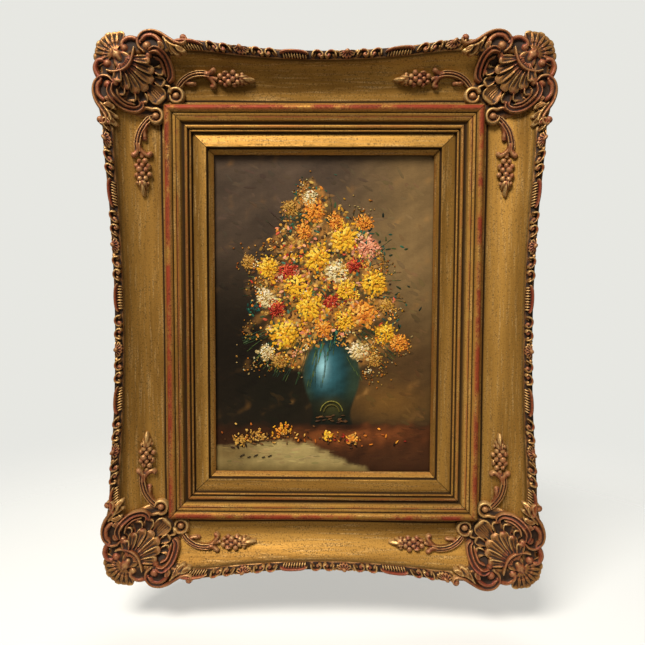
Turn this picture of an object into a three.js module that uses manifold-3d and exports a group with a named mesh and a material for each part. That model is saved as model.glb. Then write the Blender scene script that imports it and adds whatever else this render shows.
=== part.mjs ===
// Framed oil painting: a small still life in a swept, gilt frame with carved corners.
//
// Millimetres, +X to the viewer's right, +Z up. The picture faces -Y and the wall is on the +Y side.
// The origin is the hanging point, on the flat back of the top rail above the picture's middle.
//
// The frame is described in picture coordinates: u across and v up from the picture's centre,
// and h, the height forward of the frame's flat back. toWorld turns those into X, Y and Z.
// The first quarter, with u and v both positive, is the upper right one.

import * as THREE from 'three';
import { mergeVertices } from 'three/addons/utils/BufferGeometryUtils.js';
import Module from 'manifold-3d';

const wasm = await Module();
wasm.setup();

// ---------------------------------------------------------------- driving sizes

const HANG_V = 209;                 // hanging point above the picture's centre

const BOARD = { width: 205, height: 295, thickness: 3, front: 19 };

const INNER_HALF_U = 140;           // outside edges of the inner moulding
const INNER_HALF_V = 185;
const JOINT = 0.4;                  // gap between the inner moulding and the outer rails
const MITRE_GAP = 0.05;             // left off each end of an inner rail
const MITRE_PART = 0.9994;          // part of an outer rail's half length that it fills
const RAIL_STEPS = 6;               // flats along an outer rail's sweep

const COVE_HALF_U = INNER_HALF_U + JOINT;   // inside edges of the outer rails
const COVE_HALF_V = INNER_HALF_V + JOINT;
const CORNER_U = 187;               // outside corners, where the outer rails' mitres end
const CORNER_V = 232;

const SKIN = 0.45;                  // gap under the applied ornament
const GROUND = 2.2;                 // thickness of the corner ornament's ground over the cove
const GROUND_FOOT = 23;             // how far back the ground wraps round the outer edge
const FINENESS = 0.58;               // size of detail that the carving's facets may leave out

// The swept outside edges: [place along the rail, distance from the picture's centre line].
const SIDE_SWEEP = [
  [0, 182.6], [50, 183.5], [100, 186.1], [140, 189.3],
  [162, 190.4], [185, 189.4], [210, 187.6], [CORNER_V, CORNER_U],
];
const END_SWEEP = [
  [0, 226.8], [40, 228.0], [80, 231.8], [110, 235.8],
  [130, 236.6], [150, 235.4], [CORNER_U, CORNER_V],
];

// Section of an outer rail where it is 44 wide: [distance from its inside edge, height].
const RAIL_WIDTH = 44;
const RAIL_SECTION = [
  [0, 25.4], [1.9, 26.0], [2.6, 24.8],                      // fillet beside the inner moulding
  [12, 26.1], [20.5, 29.2], [28.5, 34.2], [35.4, 41.2],     // cove
  [44, 41.2], [44, 34], [39.6, 0],                          // outer edge and undercut side
  [10.2, 0], [10.2, 19.6], [0, 19.6],                       // flat back and rebate
];
const COVE_LINE = RAIL_SECTION.slice(2, 8);                 // its part under the ornament

// Section of the inner moulding: [distance in from its outside edge, height].
const INNER_SECTION = [
  [-9, 19.2], [0, 19.2],                                    // flange behind the outer rail
  [0, 30.4], [0.9, 33.8], [2.7, 35.6], [4.9, 35.8], [6.9, 34.4], [8.0, 32.6],      // bead
  [8.4, 33.2], [13.7, 31.8], [14.5, 29.9], [15.6, 29.5],    // sloping band and quirk
  [16.3, 30.7], [18.4, 31.2], [20.5, 30.0], [21.3, 28.2],   // small round
  [22.2, 28.9], [36.3, 28.4], [36.9, 26.6], [38.0, 26.4],   // flat frieze and step
  [42.0, 22.4], [42.0, 19.2], [37.0, 19.2], [37.0, 8], [-9, 8],    // bevel, rebate and back
];

// The carved edge of an outer rail: [inner foot, crest, outer foot] of its section, each
// [distance across the rail, height], at the places where its pattern swells and narrows.
const EDGE_FOOT = 41.5;
const EDGE_VALLEY = [[37.0, EDGE_FOOT], [41.0, 44.6], [44, EDGE_FOOT]];
const EDGE_CURL = [[35.7, EDGE_FOOT], [39.0, 48.0], [44, EDGE_FOOT]];
const EDGE_RIDGE = [[35.7, EDGE_FOOT], [41.8, 47.6], [44, EDGE_FOOT]];
const EDGE_PALMETTE = [[35.7, EDGE_FOOT], [38.0, 48.2], [44, EDGE_FOOT]];
const EDGE_PATTERN = [              // [place along one repeat, section]
  [0, EDGE_RIDGE], [24, EDGE_RIDGE], [27, EDGE_VALLEY], [32.5, EDGE_CURL], [38, EDGE_VALLEY],
  [43.5, EDGE_CURL], [49, EDGE_VALLEY], [57.5, EDGE_PALMETTE], [66, EDGE_VALLEY],
  [71.5, EDGE_CURL], [77, EDGE_VALLEY], [83, EDGE_CURL], [89, EDGE_VALLEY],
];
const EDGE_REPEAT = 92;
const SIDE_EDGE = { from: -160, to: 160, first: -179.5 };
const END_EDGE = { from: -115, to: 115, first: -130 };

// ---------------------------------------------------------------- materials

const gilt = new THREE.MeshStandardMaterial({
  name: 'gilt', color: 0x9a6f33, roughness: 0.45, metalness: 0.5,
});
const paint = new THREE.MeshStandardMaterial({ name: 'paint', color: 0x5a4630, roughness: 0.6 });

// ---------------------------------------------------------------- helpers

const toWorld = (u, v, h) => [u, -h, v - HANG_V];

// A smooth curve through the given [x, y] points, level at the first.
function smoothLine(points) {
  const slope = points.map((p, i) => {
    const before = points[Math.max(i - 1, 0)];
    const after = points[Math.min(i + 1, points.length - 1)];
    return i === 0 ? 0 : (after[1] - before[1]) / (after[0] - before[0]);
  });
  return (x) => {
    let i = 0;
    while (i < points.length - 2 && x > points[i + 1][0]) i += 1;
    const [x0, y0] = points[i];
    const [x1, y1] = points[i + 1];
    const width = x1 - x0;
    const q = Math.min(Math.max((x - x0) / width, 0), 1);
    const bend = (1 - q) * slope[i] - q * slope[i + 1];
    return y0 + (y1 - y0) * q * q * (3 - 2 * q) + width * q * (1 - q) * bend;
  };
}

const sideEdge = smoothLine(SIDE_SWEEP);
const endEdge = smoothLine(END_SWEEP);

// A closed solid through rings of [u, v, h] points. The flat section, in the same order as each
// ring's points, says how to close the two ends.
function loft(rings, section) {
  const n = section.length;
  const index = [];
  for (let r = 0; r + 1 < rings.length; r += 1) {
    for (let k = 0; k < n; k += 1) {
      const a = r * n + k;
      const b = r * n + (k + 1) % n;
      index.push(a, b, b + n, a, b + n, a + n);
    }
  }
  const flat = section.map(([x, y]) => new THREE.Vector2(x, y));
  const turn = Math.sign(THREE.ShapeUtils.area(flat));
  const last = (rings.length - 1) * n;
  for (const [a, b, c] of THREE.ShapeUtils.triangulateShape(flat, [])) {
    const asSection = Math.sign(THREE.ShapeUtils.area([flat[a], flat[b], flat[c]])) === turn;
    const [p, q] = asSection ? [b, c] : [c, b];
    index.push(a, q, p, last + a, last + p, last + q);
  }
  const geometry = new THREE.BufferGeometry();
  const positions = rings.flat().flatMap(([u, v, h]) => toWorld(u, v, h));
  geometry.setAttribute('position', new THREE.Float32BufferAttribute(positions, 3));
  geometry.setIndex(index);
  return facingOut(geometry);
}

// The same solid with its faces turned outward, so that its volume comes out positive.
function facingOut(geometry) {
  const p = geometry.attributes.position;
  const index = Array.from(geometry.index.array);
  const [a, b, c] = [0, 1, 2].map(() => new THREE.Vector3());
  let volume = 0;
  for (let i = 0; i < index.length; i += 3) {
    a.fromBufferAttribute(p, index[i]);
    b.fromBufferAttribute(p, index[i + 1]);
    c.fromBufferAttribute(p, index[i + 2]);
    volume += a.dot(b.cross(c));
  }
  if (volume < 0) {
    for (let i = 0; i < index.length; i += 3) {
      [index[i], index[i + 1]] = [index[i + 1], index[i]];
    }
  }
  geometry.setIndex(index);
  return geometry;
}

function toManifold(geometry) {
  const bare = new THREE.BufferGeometry();
  bare.setAttribute('position', geometry.attributes.position.clone());
  if (geometry.index) bare.setIndex(geometry.index.clone());
  const welded = mergeVertices(bare, 1e-4);
  return new wasm.Manifold(new wasm.Mesh({
    numProp: 3,
    vertProperties: Float32Array.from(welded.attributes.position.array),
    triVerts: Uint32Array.from(welded.index.array),
  }));
}

// The outer surface of a solid, without any closed pocket inside it.
function fromManifold(solid) {
  const shells = solid.decompose().sort((a, b) => b.volume() - a.volume());
  const mesh = shells[0].getMesh();
  const geometry = new THREE.BufferGeometry();
  geometry.setAttribute('position', new THREE.Float32BufferAttribute(mesh.vertProperties, 3));
  geometry.setIndex(Array.from(mesh.triVerts));
  return geometry;
}

const joined = (solids) => solids.reduce((sum, solid) => sum.add(solid));

// A solid of the first quarter mirrored into another one, or about the picture's middle lines.
function mirrored(geometry, signU, signV) {
  const copy = geometry.clone();
  const p = copy.attributes.position;
  for (let i = 0; i < p.count; i += 1) {
    p.setXYZ(i, signU * p.getX(i), p.getY(i), signV * (p.getZ(i) + HANG_V) - HANG_V);
  }
  return facingOut(copy);
}

// ---------------------------------------------------------------- outer rails

// A section with each of its sides moved outward by the given amount.
function grown(section, amount) {
  const n = section.length;
  const normal = ([x0, y0], [x1, y1]) => {
    const length = Math.hypot(x1 - x0, y1 - y0);
    return [-(y1 - y0) / length, (x1 - x0) / length];
  };
  return section.map((p, i) => {
    const a = normal(section[(i + n - 1) % n], p);
    const b = normal(p, section[(i + 1) % n]);
    const sum = [a[0] + b[0], a[1] + b[1]];
    const scale = 2 * amount / Math.max(sum[0] ** 2 + sum[1] ** 2, 0.8);
    return [p[0] + sum[0] * scale, p[1] + sum[1] * scale];
  });
}

// One ring of an outer rail, from a section. s is -1 at one mitre and 1 at the other.
function railRing(isEnd, s, section) {
  const inside = isEnd ? [COVE_HALF_U * s, COVE_HALF_V] : [COVE_HALF_U, COVE_HALF_V * s];
  const outside = isEnd
    ? [CORNER_U * s, endEdge(Math.abs(CORNER_U * s))]
    : [sideEdge(Math.abs(CORNER_V * s)), CORNER_V * s];
  return section.map(([x, h]) => [
    inside[0] + x / RAIL_WIDTH * (outside[0] - inside[0]),
    inside[1] + x / RAIL_WIDTH * (outside[1] - inside[1]),
    h,
  ]);
}

// An outer rail out to the given part of its half length, grown by the given amount.
function outerRail(isEnd, reach, amount = 0) {
  const section = grown(RAIL_SECTION, amount);
  const rings = [];
  for (let i = 0; i <= RAIL_STEPS; i += 1) {
    rings.push(railRing(isEnd, reach * (2 * i / RAIL_STEPS - 1), section));
  }
  return loft(rings, section);
}

// The two outer rails that meet at the first quarter's corner, grown by the given amount.
function grownRails(amount) {
  return joined([true, false].map((isEnd) => toManifold(outerRail(isEnd, 1, amount))));
}

// Applied ornament trimmed to sit on the outer rails and stop beside the inner moulding.
function fitted(relief) {
  const block = new THREE.BoxGeometry(COVE_HALF_U, 80, COVE_HALF_V);
  block.translate(...toWorld(COVE_HALF_U / 2, COVE_HALF_V / 2, 40));
  const cut = relief.simplify(0.6).subtract(grownRails(SKIN)).subtract(toManifold(block));
  return fromManifold(cut.simplify(FINENESS));
}

// How far across an outer rail a place of the first quarter lies, in its section's own measure.
function acrossRail(u, v) {
  const isEnd = v - COVE_HALF_V > u - COVE_HALF_U;
  const [along, across] = isEnd ? [u, v - COVE_HALF_V] : [v, u - COVE_HALF_U];
  const [innerEnd, outerEnd] = isEnd ? [COVE_HALF_U, CORNER_U] : [COVE_HALF_V, CORNER_V];
  const width = (place) => (isEnd ? endEdge(place) - COVE_HALF_V : sideEdge(place) - COVE_HALF_U);
  let t = across / RAIL_WIDTH;
  for (let pass = 0; pass < 4; pass += 1) {
    const s = along / (innerEnd + t * (outerEnd - innerEnd));
    t = across / width(Math.abs(outerEnd * s));
  }
  return t * RAIL_WIDTH;
}

// Height of the cove, or of the outer edge beyond it, at a place of the first quarter.
function coveHeight(u, v) {
  const x = THREE.MathUtils.clamp(acrossRail(u, v), COVE_LINE[0][0], RAIL_WIDTH);
  const i = Math.max(COVE_LINE.findIndex((p) => x <= p[0]), 1);
  const [x0, h0] = COVE_LINE[i - 1];
  const [x1, h1] = COVE_LINE[i];
  return h0 + (h1 - h0) * (x - x0) / (x1 - x0);
}

// ---------------------------------------------------------------- inner rails and edge carvings

function innerRail(isEnd) {
  const rings = [-1, 1].map((sign) => INNER_SECTION.map(([x, h]) => (isEnd
    ? [sign * (INNER_HALF_U - x - MITRE_GAP), INNER_HALF_V - x, h]
    : [INNER_HALF_U - x, sign * (INNER_HALF_V - x - MITRE_GAP), h])));
  return loft(rings, INNER_SECTION);
}

function edgeCarving(isEnd) {
  const { from, to, first } = isEnd ? END_EDGE : SIDE_EDGE;
  const length = isEnd ? CORNER_U : CORNER_V;
  const rings = [railRing(isEnd, from / length, EDGE_VALLEY)];
  for (let start = first; start < to; start += EDGE_REPEAT) {
    for (const [place, section] of EDGE_PATTERN) {
      const at = start + place;
      if (at > from + 2 && at < to - 2) rings.push(railRing(isEnd, at / length, section));
    }
  }
  rings.push(railRing(isEnd, to / length, EDGE_VALLEY));
  return loft(rings, EDGE_VALLEY);
}

// ---------------------------------------------------------------- ornament elements

const ROUND = new THREE.IcosahedronGeometry(1, 0);
const SMALL = new THREE.OctahedronGeometry(1, 0);

// A tapering scroll through [u, v, lift, radius] places. Lift is height above the cove.
function scroll(places, steps, sides = 4) {
  const centre = new THREE.CatmullRomCurve3(
    places.map(([u, v, lift]) => new THREE.Vector3(u, v, coveHeight(u, v) + lift)));
  const unit = Array.from({ length: sides }, (_, k) => {
    const angle = 2 * Math.PI * (k + 0.5) / sides;
    return [Math.cos(angle), Math.sin(angle)];
  });
  const rings = [];
  for (let i = 0; i <= steps; i += 1) {
    const at = centre.getPoint(i / steps);
    const along = centre.getTangent(i / steps);
    const side = new THREE.Vector3(along.y, -along.x, 0).normalize();
    const up = new THREE.Vector3().crossVectors(side, along).normalize();
    const place = i / steps * (places.length - 1);
    const k = Math.min(Math.floor(place), places.length - 2);
    const radius = THREE.MathUtils.lerp(places[k][3], places[k + 1][3], place - k);
    rings.push(unit.map(([x, y]) => at.clone()
      .addScaledVector(side, radius * x)
      .addScaledVector(up, radius * y)
      .toArray()));
  }
  return toManifold(loft(rings, unit));
}

// A ball on the cove.
function ball(u, v, lift, radius, body = ROUND) {
  const shape = body.clone().scale(radius, radius, radius);
  return toManifold(shape.translate(...toWorld(u, v, coveHeight(u, v) + lift)));
}

// A rounded lobe lying along the cove from one place to another.
function lobe([u0, v0], [u1, v1], lift, width, thick, body = ROUND) {
  const [h0, h1] = [coveHeight(u0, v0), coveHeight(u1, v1)];
  const run = Math.hypot(u1 - u0, v1 - v0);
  const shape = body.clone()
    .scale(Math.hypot(run, h1 - h0) / 2 * 1.12, thick, width / 2 * 1.12)
    .rotateZ(-Math.atan2(h1 - h0, run))
    .rotateY(-Math.atan2(v1 - v0, u1 - u0));
  return toManifold(shape.translate(...toWorld((u0 + u1) / 2, (v0 + v1) / 2, (h0 + h1) / 2 + lift)));
}

// A fluted shell: lobes that run from one root to the given tips, with valleys between them.
// The crests and valleys are heights above the cove.
function flutedShell(root, tips, crest, valley, depth = 3) {
  const between = (p, q, part) => [p[0] + (q[0] - p[0]) * part, p[1] + (q[1] - p[1]) * part];
  const rim = tips.flatMap((tip, i) => (i === 0 ? [tip]
    : [between(root, between(tips[i - 1], tip, 0.5), 0.88), tip]));
  const at = ([u, v], lift) => [u, v, coveHeight(u, v) + lift];
  const lifts = rim.map((_, i) => (i % 2 === 0 ? crest : valley));
  const points = [
    at(root, (crest + valley) / 2), at(root, -depth),
    ...rim.map((p, i) => at(between(root, p, 0.6), lifts[i])),
    ...rim.map((p, i) => at(p, lifts[i] * 0.45)),
    ...rim.map((p) => at(p, -depth)),
  ];
  const n = rim.length;
  const [middle, edge, under] = [2, 2 + n, 2 + 2 * n];
  const end = n - 1;
  const index = [0, middle, edge, 0, edge, under, 0, under, 1,
    0, edge + end, middle + end, 0, under + end, edge + end, 0, 1, under + end];
  for (let i = 0; i < end; i += 1) {
    index.push(0, middle + i + 1, middle + i);
    for (const [inner, outer] of [[middle, edge], [edge, under]]) {
      index.push(inner + i, inner + i + 1, outer + i + 1, inner + i, outer + i + 1, outer + i);
    }
    index.push(1, under + i, under + i + 1);
  }
  const geometry = new THREE.BufferGeometry();
  const positions = points.flatMap(([u, v, h]) => toWorld(u, v, h));
  geometry.setAttribute('position', new THREE.Float32BufferAttribute(positions, 3));
  geometry.setIndex(index);
  return toManifold(facingOut(geometry));
}

// A scroll that winds in about a place, with a ball at its centre.
function volute(u, v, radius, startAngle, turns) {
  const places = Array.from({ length: 7 }, (_, i) => {
    const part = i / 6;
    const angle = startAngle + turns * 2 * Math.PI * part;
    const reach = radius * (1 - 0.4 * part);
    return [u + reach * Math.cos(angle), v + reach * Math.sin(angle), 1.6 + 1.4 * part, 2.1 - 0.4 * part];
  });
  return scroll(places, 6, 3).add(ball(u, v, 3.2, 4.0, SMALL));
}

// ---------------------------------------------------------------- corner ornament

const GROUND_OUTLINE = [
  [123, 196], [128, 185.5], [139, 186], [141, 170], [150, 167.5], [170, 175.5],
  [187, 166.5], [192, 184], [189, 204], [192, 228],
  [184, 236], [172, 238], [158, 234.5], [146, 238.5], [119, 234.5], [129, 214],
];

const FAN_CENTRE = [176, 222.5];
const FAN_REACH = 19.5;
const FAN_ANGLES = [-0.35, 0.09, 0.53, 0.97, 1.41, 1.85];
const SHELL_ROOT = [170, 217];
const SHELL_TIPS = [[172, 196], [161, 193], [151, 197], [147, 207], [149, 219]];
const APRON_ROOT = [160, 206];
const APRON_TIPS = [[167, 183.5], [148, 182.5], [137, 192], [136.5, 212]];

const fanTip = (angle) => [
  FAN_CENTRE[0] + FAN_REACH * Math.cos(angle),
  FAN_CENTRE[1] + FAN_REACH * Math.sin(angle),
];

function shells() {
  return joined([
    flutedShell(FAN_CENTRE, FAN_ANGLES.map(fanTip), 7.0, 4.2),
    flutedShell(SHELL_ROOT, SHELL_TIPS, 8.0, 5.0),
    flutedShell(APRON_ROOT, APRON_TIPS, 4.6, 2.6),
    ball(...FAN_CENTRE, 5.0, 4.6),
  ]);
}

// The two long scrolls that border the shells on the picture's side.
function borderScrolls() {
  return joined([
    scroll([[174.5, 192.5, 3, 2.4], [179, 186, 3, 2.6], [174.5, 179.5, 2.6, 2.8],
      [166, 176.8, 2.4, 2.6], [158, 180, 2.4, 2.0]], 4, 3),
    scroll([[146.5, 221, 3, 2.6], [139.5, 223.5, 3, 2.6], [132.5, 217, 2.6, 2.8],
      [130.5, 209, 2.4, 2.6], [134, 202.5, 2.4, 2.0]], 4, 3),
  ]);
}

// The large scrolls along the frame's two outside edges, with their tails, and the short curls
// between them and the fan.
function edgeScrolls() {
  return joined([
    scroll([[158, 231.5, 2.6, 2.2], [156, 238, 2.6, 2.8], [147, 240, 2.6, 3.2],
      [137, 237.5, 2.2, 3.0], [128, 231.5, 1.8, 2.6], [119.5, 232.5, 1.8, 1.8]], 6, 3),
    scroll([[185.5, 205, 2.6, 2.2], [192, 201.5, 2.6, 2.8], [193.5, 192, 2.6, 3.2],
      [190.5, 183, 2.2, 3.0], [185, 175, 1.8, 2.6], [184, 166.5, 1.8, 1.8]], 6, 3),
    scroll([[158, 233.5, 2, 2.2], [165, 235, 2.6, 2.8], [170, 231, 3, 3.0]], 2, 3),
    scroll([[189, 204.5, 2, 2.2], [190.5, 211, 2.6, 2.8], [186, 216, 3, 3.0]], 2, 3),
  ]);
}

function ballsAndLeaves() {
  return joined([
    ball(151, 229.6, 3.4, 4.4, SMALL), ball(183.4, 198.2, 3.4, 4.4, SMALL),
    ball(168.6, 228.6, 4.2, 4.0, SMALL), ball(184.2, 216, 4.2, 4.0, SMALL),
    ball(120.5, 236.4, 3.4, 4.0, SMALL), ball(188.4, 166.6, 3.4, 4.0, SMALL),
    lobe([143, 236], [133, 228.5], 1.8, 6, 3.4, SMALL), lobe([190, 190], [181, 179.5], 1.8, 6, 3.4, SMALL),
  ]);
}

// The thin ground that the carving stands on, following the cove.
function groundSkin() {
  const outline = new THREE.Shape(GROUND_OUTLINE.map(([u, v]) => new THREE.Vector2(u, v)));
  const slab = new THREE.ExtrudeGeometry(outline, { depth: 30, bevelEnabled: false });
  slab.rotateX(Math.PI / 2).translate(0, -GROUND_FOOT, -HANG_V);
  return toManifold(slab).intersect(grownRails(GROUND));
}

function cornerOrnament() {
  const relief = joined([
    groundSkin(), shells(), borderScrolls(), edgeScrolls(), ballsAndLeaves(),
    volute(129, 191.8, 6.0, 2.4, -1.0), volute(147.2, 174.6, 6.0, -1.0, 1.0),
  ]);
  return fitted(relief);
}

// ---------------------------------------------------------------- sprigs

// A sprig is one long body, from its stem through a knot of berries and a pair of petals to a
// point, with a side leaflet and two forked tips. Its places are [u, v, lift, radius].
const SIDE_SPRIG = {
  body: [[157.5, 166.5, 1.6, 1.7], [163.8, 155, 1.8, 2.0], [161.5, 142, 2, 2.2], [160.6, 134, 1.6, 6.6],
    [160.4, 125.5, 1.6, 4.4], [160, 117, 1.4, 6.6], [159.5, 100, 1.2, 0.8]],
  tips: [[[162, 145], [168, 139.5]], [[162, 145], [152.5, 141.5]]],
  leaflet: [[159.5, 165], [157.5, 154]],
};
const END_SPRIG = {
  body: [[124, 204, 1.6, 1.7], [112, 210.5, 1.8, 2.0], [98.5, 207.5, 2, 2.2], [91, 206.4, 1.6, 6.6],
    [82.5, 206.2, 1.6, 4.4], [74.5, 206, 1.4, 6.6], [58.5, 206, 1.2, 0.8]],
  tips: [[[102, 208], [95.5, 214.5]], [[102, 208], [97, 199]]],
  leaflet: [[123, 206], [112, 203]],
};

function sprig({ body, tips, leaflet }) {
  return fitted(joined([
    scroll(body, 6, 3),
    ...[...tips, leaflet].map(([root, tip]) => lobe(root, tip, 1.2, 4.4, 2.6, SMALL)),
  ]));
}

// ---------------------------------------------------------------- painted board

function paintedBoard() {
  const { width, height, thickness, front } = BOARD;
  const shape = new THREE.BoxGeometry(width, thickness, height);
  return shape.translate(...toWorld(0, 0, front - thickness / 2));
}

// ---------------------------------------------------------------- assembly

const part = new THREE.Group();
part.name = 'framed_oil_painting';

function add(name, geometry, material) {
  const mesh = new THREE.Mesh(geometry, material);
  mesh.name = name;
  part.add(mesh);
}

const [endRail, sideRail] = [outerRail(true, MITRE_PART), outerRail(false, MITRE_PART)];
const [innerEnd, innerSide] = [innerRail(true), innerRail(false)];
const [edgeEnd, edgeSide] = [edgeCarving(true), edgeCarving(false)];
for (const [side, sign] of [['top', 1], ['bottom', -1]]) {
  add(`outer_rail_${side}`, mirrored(endRail, 1, sign), gilt);
  add(`edge_carving_${side}`, mirrored(edgeEnd, 1, sign), gilt);
  add(`inner_rail_${side}`, mirrored(innerEnd, 1, sign), gilt);
}
for (const [side, sign] of [['right', 1], ['left', -1]]) {
  add(`outer_rail_${side}`, mirrored(sideRail, sign, 1), gilt);
  add(`edge_carving_${side}`, mirrored(edgeSide, sign, 1), gilt);
  add(`inner_rail_${side}`, mirrored(innerSide, sign, 1), gilt);
}

const corner = cornerOrnament();
const sideSprig = sprig(SIDE_SPRIG);
const endSprig = sprig(END_SPRIG);
for (const [level, signV] of [['top', 1], ['bottom', -1]]) {
  for (const [side, signU] of [['right', 1], ['left', -1]]) {
    add(`corner_ornament_${level}_${side}`, mirrored(corner, signU, signV), gilt);
    add(`sprig_${level}_rail_${side}`, mirrored(endSprig, signU, signV), gilt);
    add(`sprig_${side}_rail_${level}`, mirrored(sideSprig, signU, signV), gilt);
  }
}

add('painted_board', paintedBoard(), paint);

export default part;
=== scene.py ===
import math
import random

import bpy
import numpy as np
from mathutils import Matrix, Vector


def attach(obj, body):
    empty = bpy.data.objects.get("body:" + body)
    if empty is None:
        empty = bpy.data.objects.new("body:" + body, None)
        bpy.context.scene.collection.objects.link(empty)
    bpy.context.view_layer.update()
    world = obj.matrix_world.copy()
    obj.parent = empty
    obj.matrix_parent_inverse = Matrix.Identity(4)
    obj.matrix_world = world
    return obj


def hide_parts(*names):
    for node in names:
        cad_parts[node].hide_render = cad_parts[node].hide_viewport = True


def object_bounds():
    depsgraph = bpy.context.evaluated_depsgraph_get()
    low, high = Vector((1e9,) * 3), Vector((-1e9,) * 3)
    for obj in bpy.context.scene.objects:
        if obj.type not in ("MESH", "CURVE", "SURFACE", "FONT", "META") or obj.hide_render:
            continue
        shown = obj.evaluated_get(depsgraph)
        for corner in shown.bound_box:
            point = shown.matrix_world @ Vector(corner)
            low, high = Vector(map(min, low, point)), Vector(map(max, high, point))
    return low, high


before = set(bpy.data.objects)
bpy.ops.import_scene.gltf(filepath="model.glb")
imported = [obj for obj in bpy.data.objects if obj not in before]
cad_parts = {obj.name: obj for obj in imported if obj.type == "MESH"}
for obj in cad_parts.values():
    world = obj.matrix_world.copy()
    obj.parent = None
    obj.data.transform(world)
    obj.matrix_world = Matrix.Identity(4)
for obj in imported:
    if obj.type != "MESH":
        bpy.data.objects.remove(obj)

CAD_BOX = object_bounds()

bl_info = {
    "name": "Framed Oil Painting",
    "version": (1, 0, 0),
    "blender": (4, 5, 0),
    "location": "View3D > Sidebar > Painting",
    "description": "Models a small still life in oils in a swept gilt frame with carved corners",
    "category": "Object",
}

# Lengths in this file are millimetres until they reach a mesh. The frame is described in picture
# coordinates: u across and v up from the picture's centre, and h forward of the frame's back.
MM = 0.001
# How far the picture's middle hangs below the world's origin.
HANG_V = 209.0

# Half widths and heights: of the inner moulding, of the opening that it sits in, and of the mitres' tips.
INNER_HALF = (140.0, 185.0)
COVE_HALF = (140.4, 185.4)
CORNER = (187.0, 232.0)
# The outer rails stop just short of the mitre, and the inner rails this far from it.
MITRE_PART = 0.9994
INNER_GAP = 0.05
# Distances across an outer rail are given on one of this width, and scaled to its sweep.
RAIL_WIDTH = 44.0

# The outer edge: (distance along the rail from its middle, distance from the picture's middle).
SIDE_SWEEP = [
    (0, 182.6), (50, 183.5), (100, 186.1), (140, 189.3),
    (162, 190.4), (185, 189.4), (210, 187.6), (232, 187),
]
END_SWEEP = [
    (0, 226.8), (40, 228.0), (80, 231.8), (110, 235.8),
    (130, 236.6), (150, 235.4), (187, 232),
]
# The cove: (distance across the rail, height).
COVE_CURVE = [
    (2.6, 24.8), (7, 25.1), (12, 25.9), (17, 27.4), (22, 29.6),
    (27, 32.7), (31.5, 36.4), (35.4, 41.2),
]


# ---------------------------------------------------------------- curves and places

def hermite(points):
    """A smooth line through (x, y) points, level at the first, as a function of arrays."""
    xs = np.array([p[0] for p in points], float)
    ys = np.array([p[1] for p in points], float)
    slopes = np.gradient(ys, xs)
    slopes[0] = 0.0

    def line(x):
        x = np.clip(np.asarray(x, float), xs[0], xs[-1])
        i = np.clip(np.searchsorted(xs, x, side="right") - 1, 0, len(xs) - 2)
        width = xs[i + 1] - xs[i]
        q = (x - xs[i]) / width
        bend = (1 - q) * slopes[i] * (1 - q) * q - q * slopes[i + 1] * (1 - q) * q
        return ys[i] + (ys[i + 1] - ys[i]) * q * q * (3 - 2 * q) + width * bend

    return line


side_edge = hermite(SIDE_SWEEP)
end_edge = hermite(END_SWEEP)
cove_line = hermite(COVE_CURVE)


def across_on(is_end, u, v, rounds):
    """Distance across one outer rail of places on it, found closer with each round."""
    if is_end:
        along_it, beyond, inner, outer = u, v - COVE_HALF[1], COVE_HALF[0], CORNER[0]
        edge, first = end_edge, COVE_HALF[1]
    else:
        along_it, beyond, inner, outer = v, u - COVE_HALF[0], COVE_HALF[1], CORNER[1]
        edge, first = side_edge, COVE_HALF[0]
    t = beyond / RAIL_WIDTH
    for _ in range(rounds):
        place = np.abs(outer * along_it / (inner + t * (outer - inner)))
        t = beyond / (edge(place) - first)
    return t * RAIL_WIDTH


def across_rail(u, v):
    """How far across its outer rail a place of the first quarter lies."""
    u = np.asarray(u, float)
    v = np.asarray(v, float)
    is_end = v - COVE_HALF[1] > u - COVE_HALF[0]
    return np.where(is_end, across_on(True, u, v, 4), across_on(False, u, v, 4))


def cove_height(u, v):
    """Height of the cove, or of the rail's outer edge, under a place of the first quarter."""
    x = across_rail(u, v)
    low, (high, edge_height) = COVE_CURVE[0][0], COVE_CURVE[-1]
    return np.where(x > high, edge_height, cove_line(np.maximum(x, low)))


def to_world(points):
    """Picture coordinates in millimetres as world coordinates in metres."""
    p = np.asarray(points, float)
    return np.stack([p[:, 0], -p[:, 2], p[:, 1] - HANG_V], axis=1) * MM


def rail_place(is_end, s, x, h):
    """Picture coordinates on an outer rail: s from -1 to 1 along it, x across it, h its height."""
    s, x, h = np.broadcast_arrays(*(np.asarray(a, float) for a in (s, x, h)))
    t = x / RAIL_WIDTH
    if is_end:
        outer = end_edge(np.abs(CORNER[0] * s))
        inside = (COVE_HALF[0] * s, COVE_HALF[1])
        outside = (CORNER[0] * s, outer)
    else:
        outer = side_edge(np.abs(CORNER[1] * s))
        inside = (COVE_HALF[0], COVE_HALF[1] * s)
        outside = (outer, CORNER[1] * s)
    u = inside[0] + t * (outside[0] - inside[0])
    v = inside[1] + t * (outside[1] - inside[1])
    return np.stack([u, v, h], axis=-1)


# ---------------------------------------------------------------- Blender helpers

def clear_selection():
    if bpy.context.object and bpy.context.object.mode != "OBJECT":
        bpy.ops.object.mode_set(mode="OBJECT")
    bpy.ops.object.select_all(action="DESELECT")


def only(obj):
    clear_selection()
    obj.select_set(True)
    bpy.context.view_layer.objects.active = obj
    return obj


def named(name):
    obj = bpy.context.object
    obj.name = name
    obj.data.name = name
    return obj


def new_mesh(name, points, faces):
    """A mesh object from points in picture coordinates, placed in its mesh."""
    mesh = bpy.data.meshes.new(name)
    mesh.from_pydata(to_world(points).tolist(), [], faces)
    mesh.update()
    obj = bpy.data.objects.new(name, mesh)
    bpy.context.scene.collection.objects.link(obj)
    return only(obj)


def faces_out(obj):
    only(obj)
    bpy.ops.object.mode_set(mode="EDIT")
    bpy.ops.mesh.select_all(action="SELECT")
    bpy.ops.mesh.normals_make_consistent(inside=False)
    bpy.ops.object.mode_set(mode="OBJECT")


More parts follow.
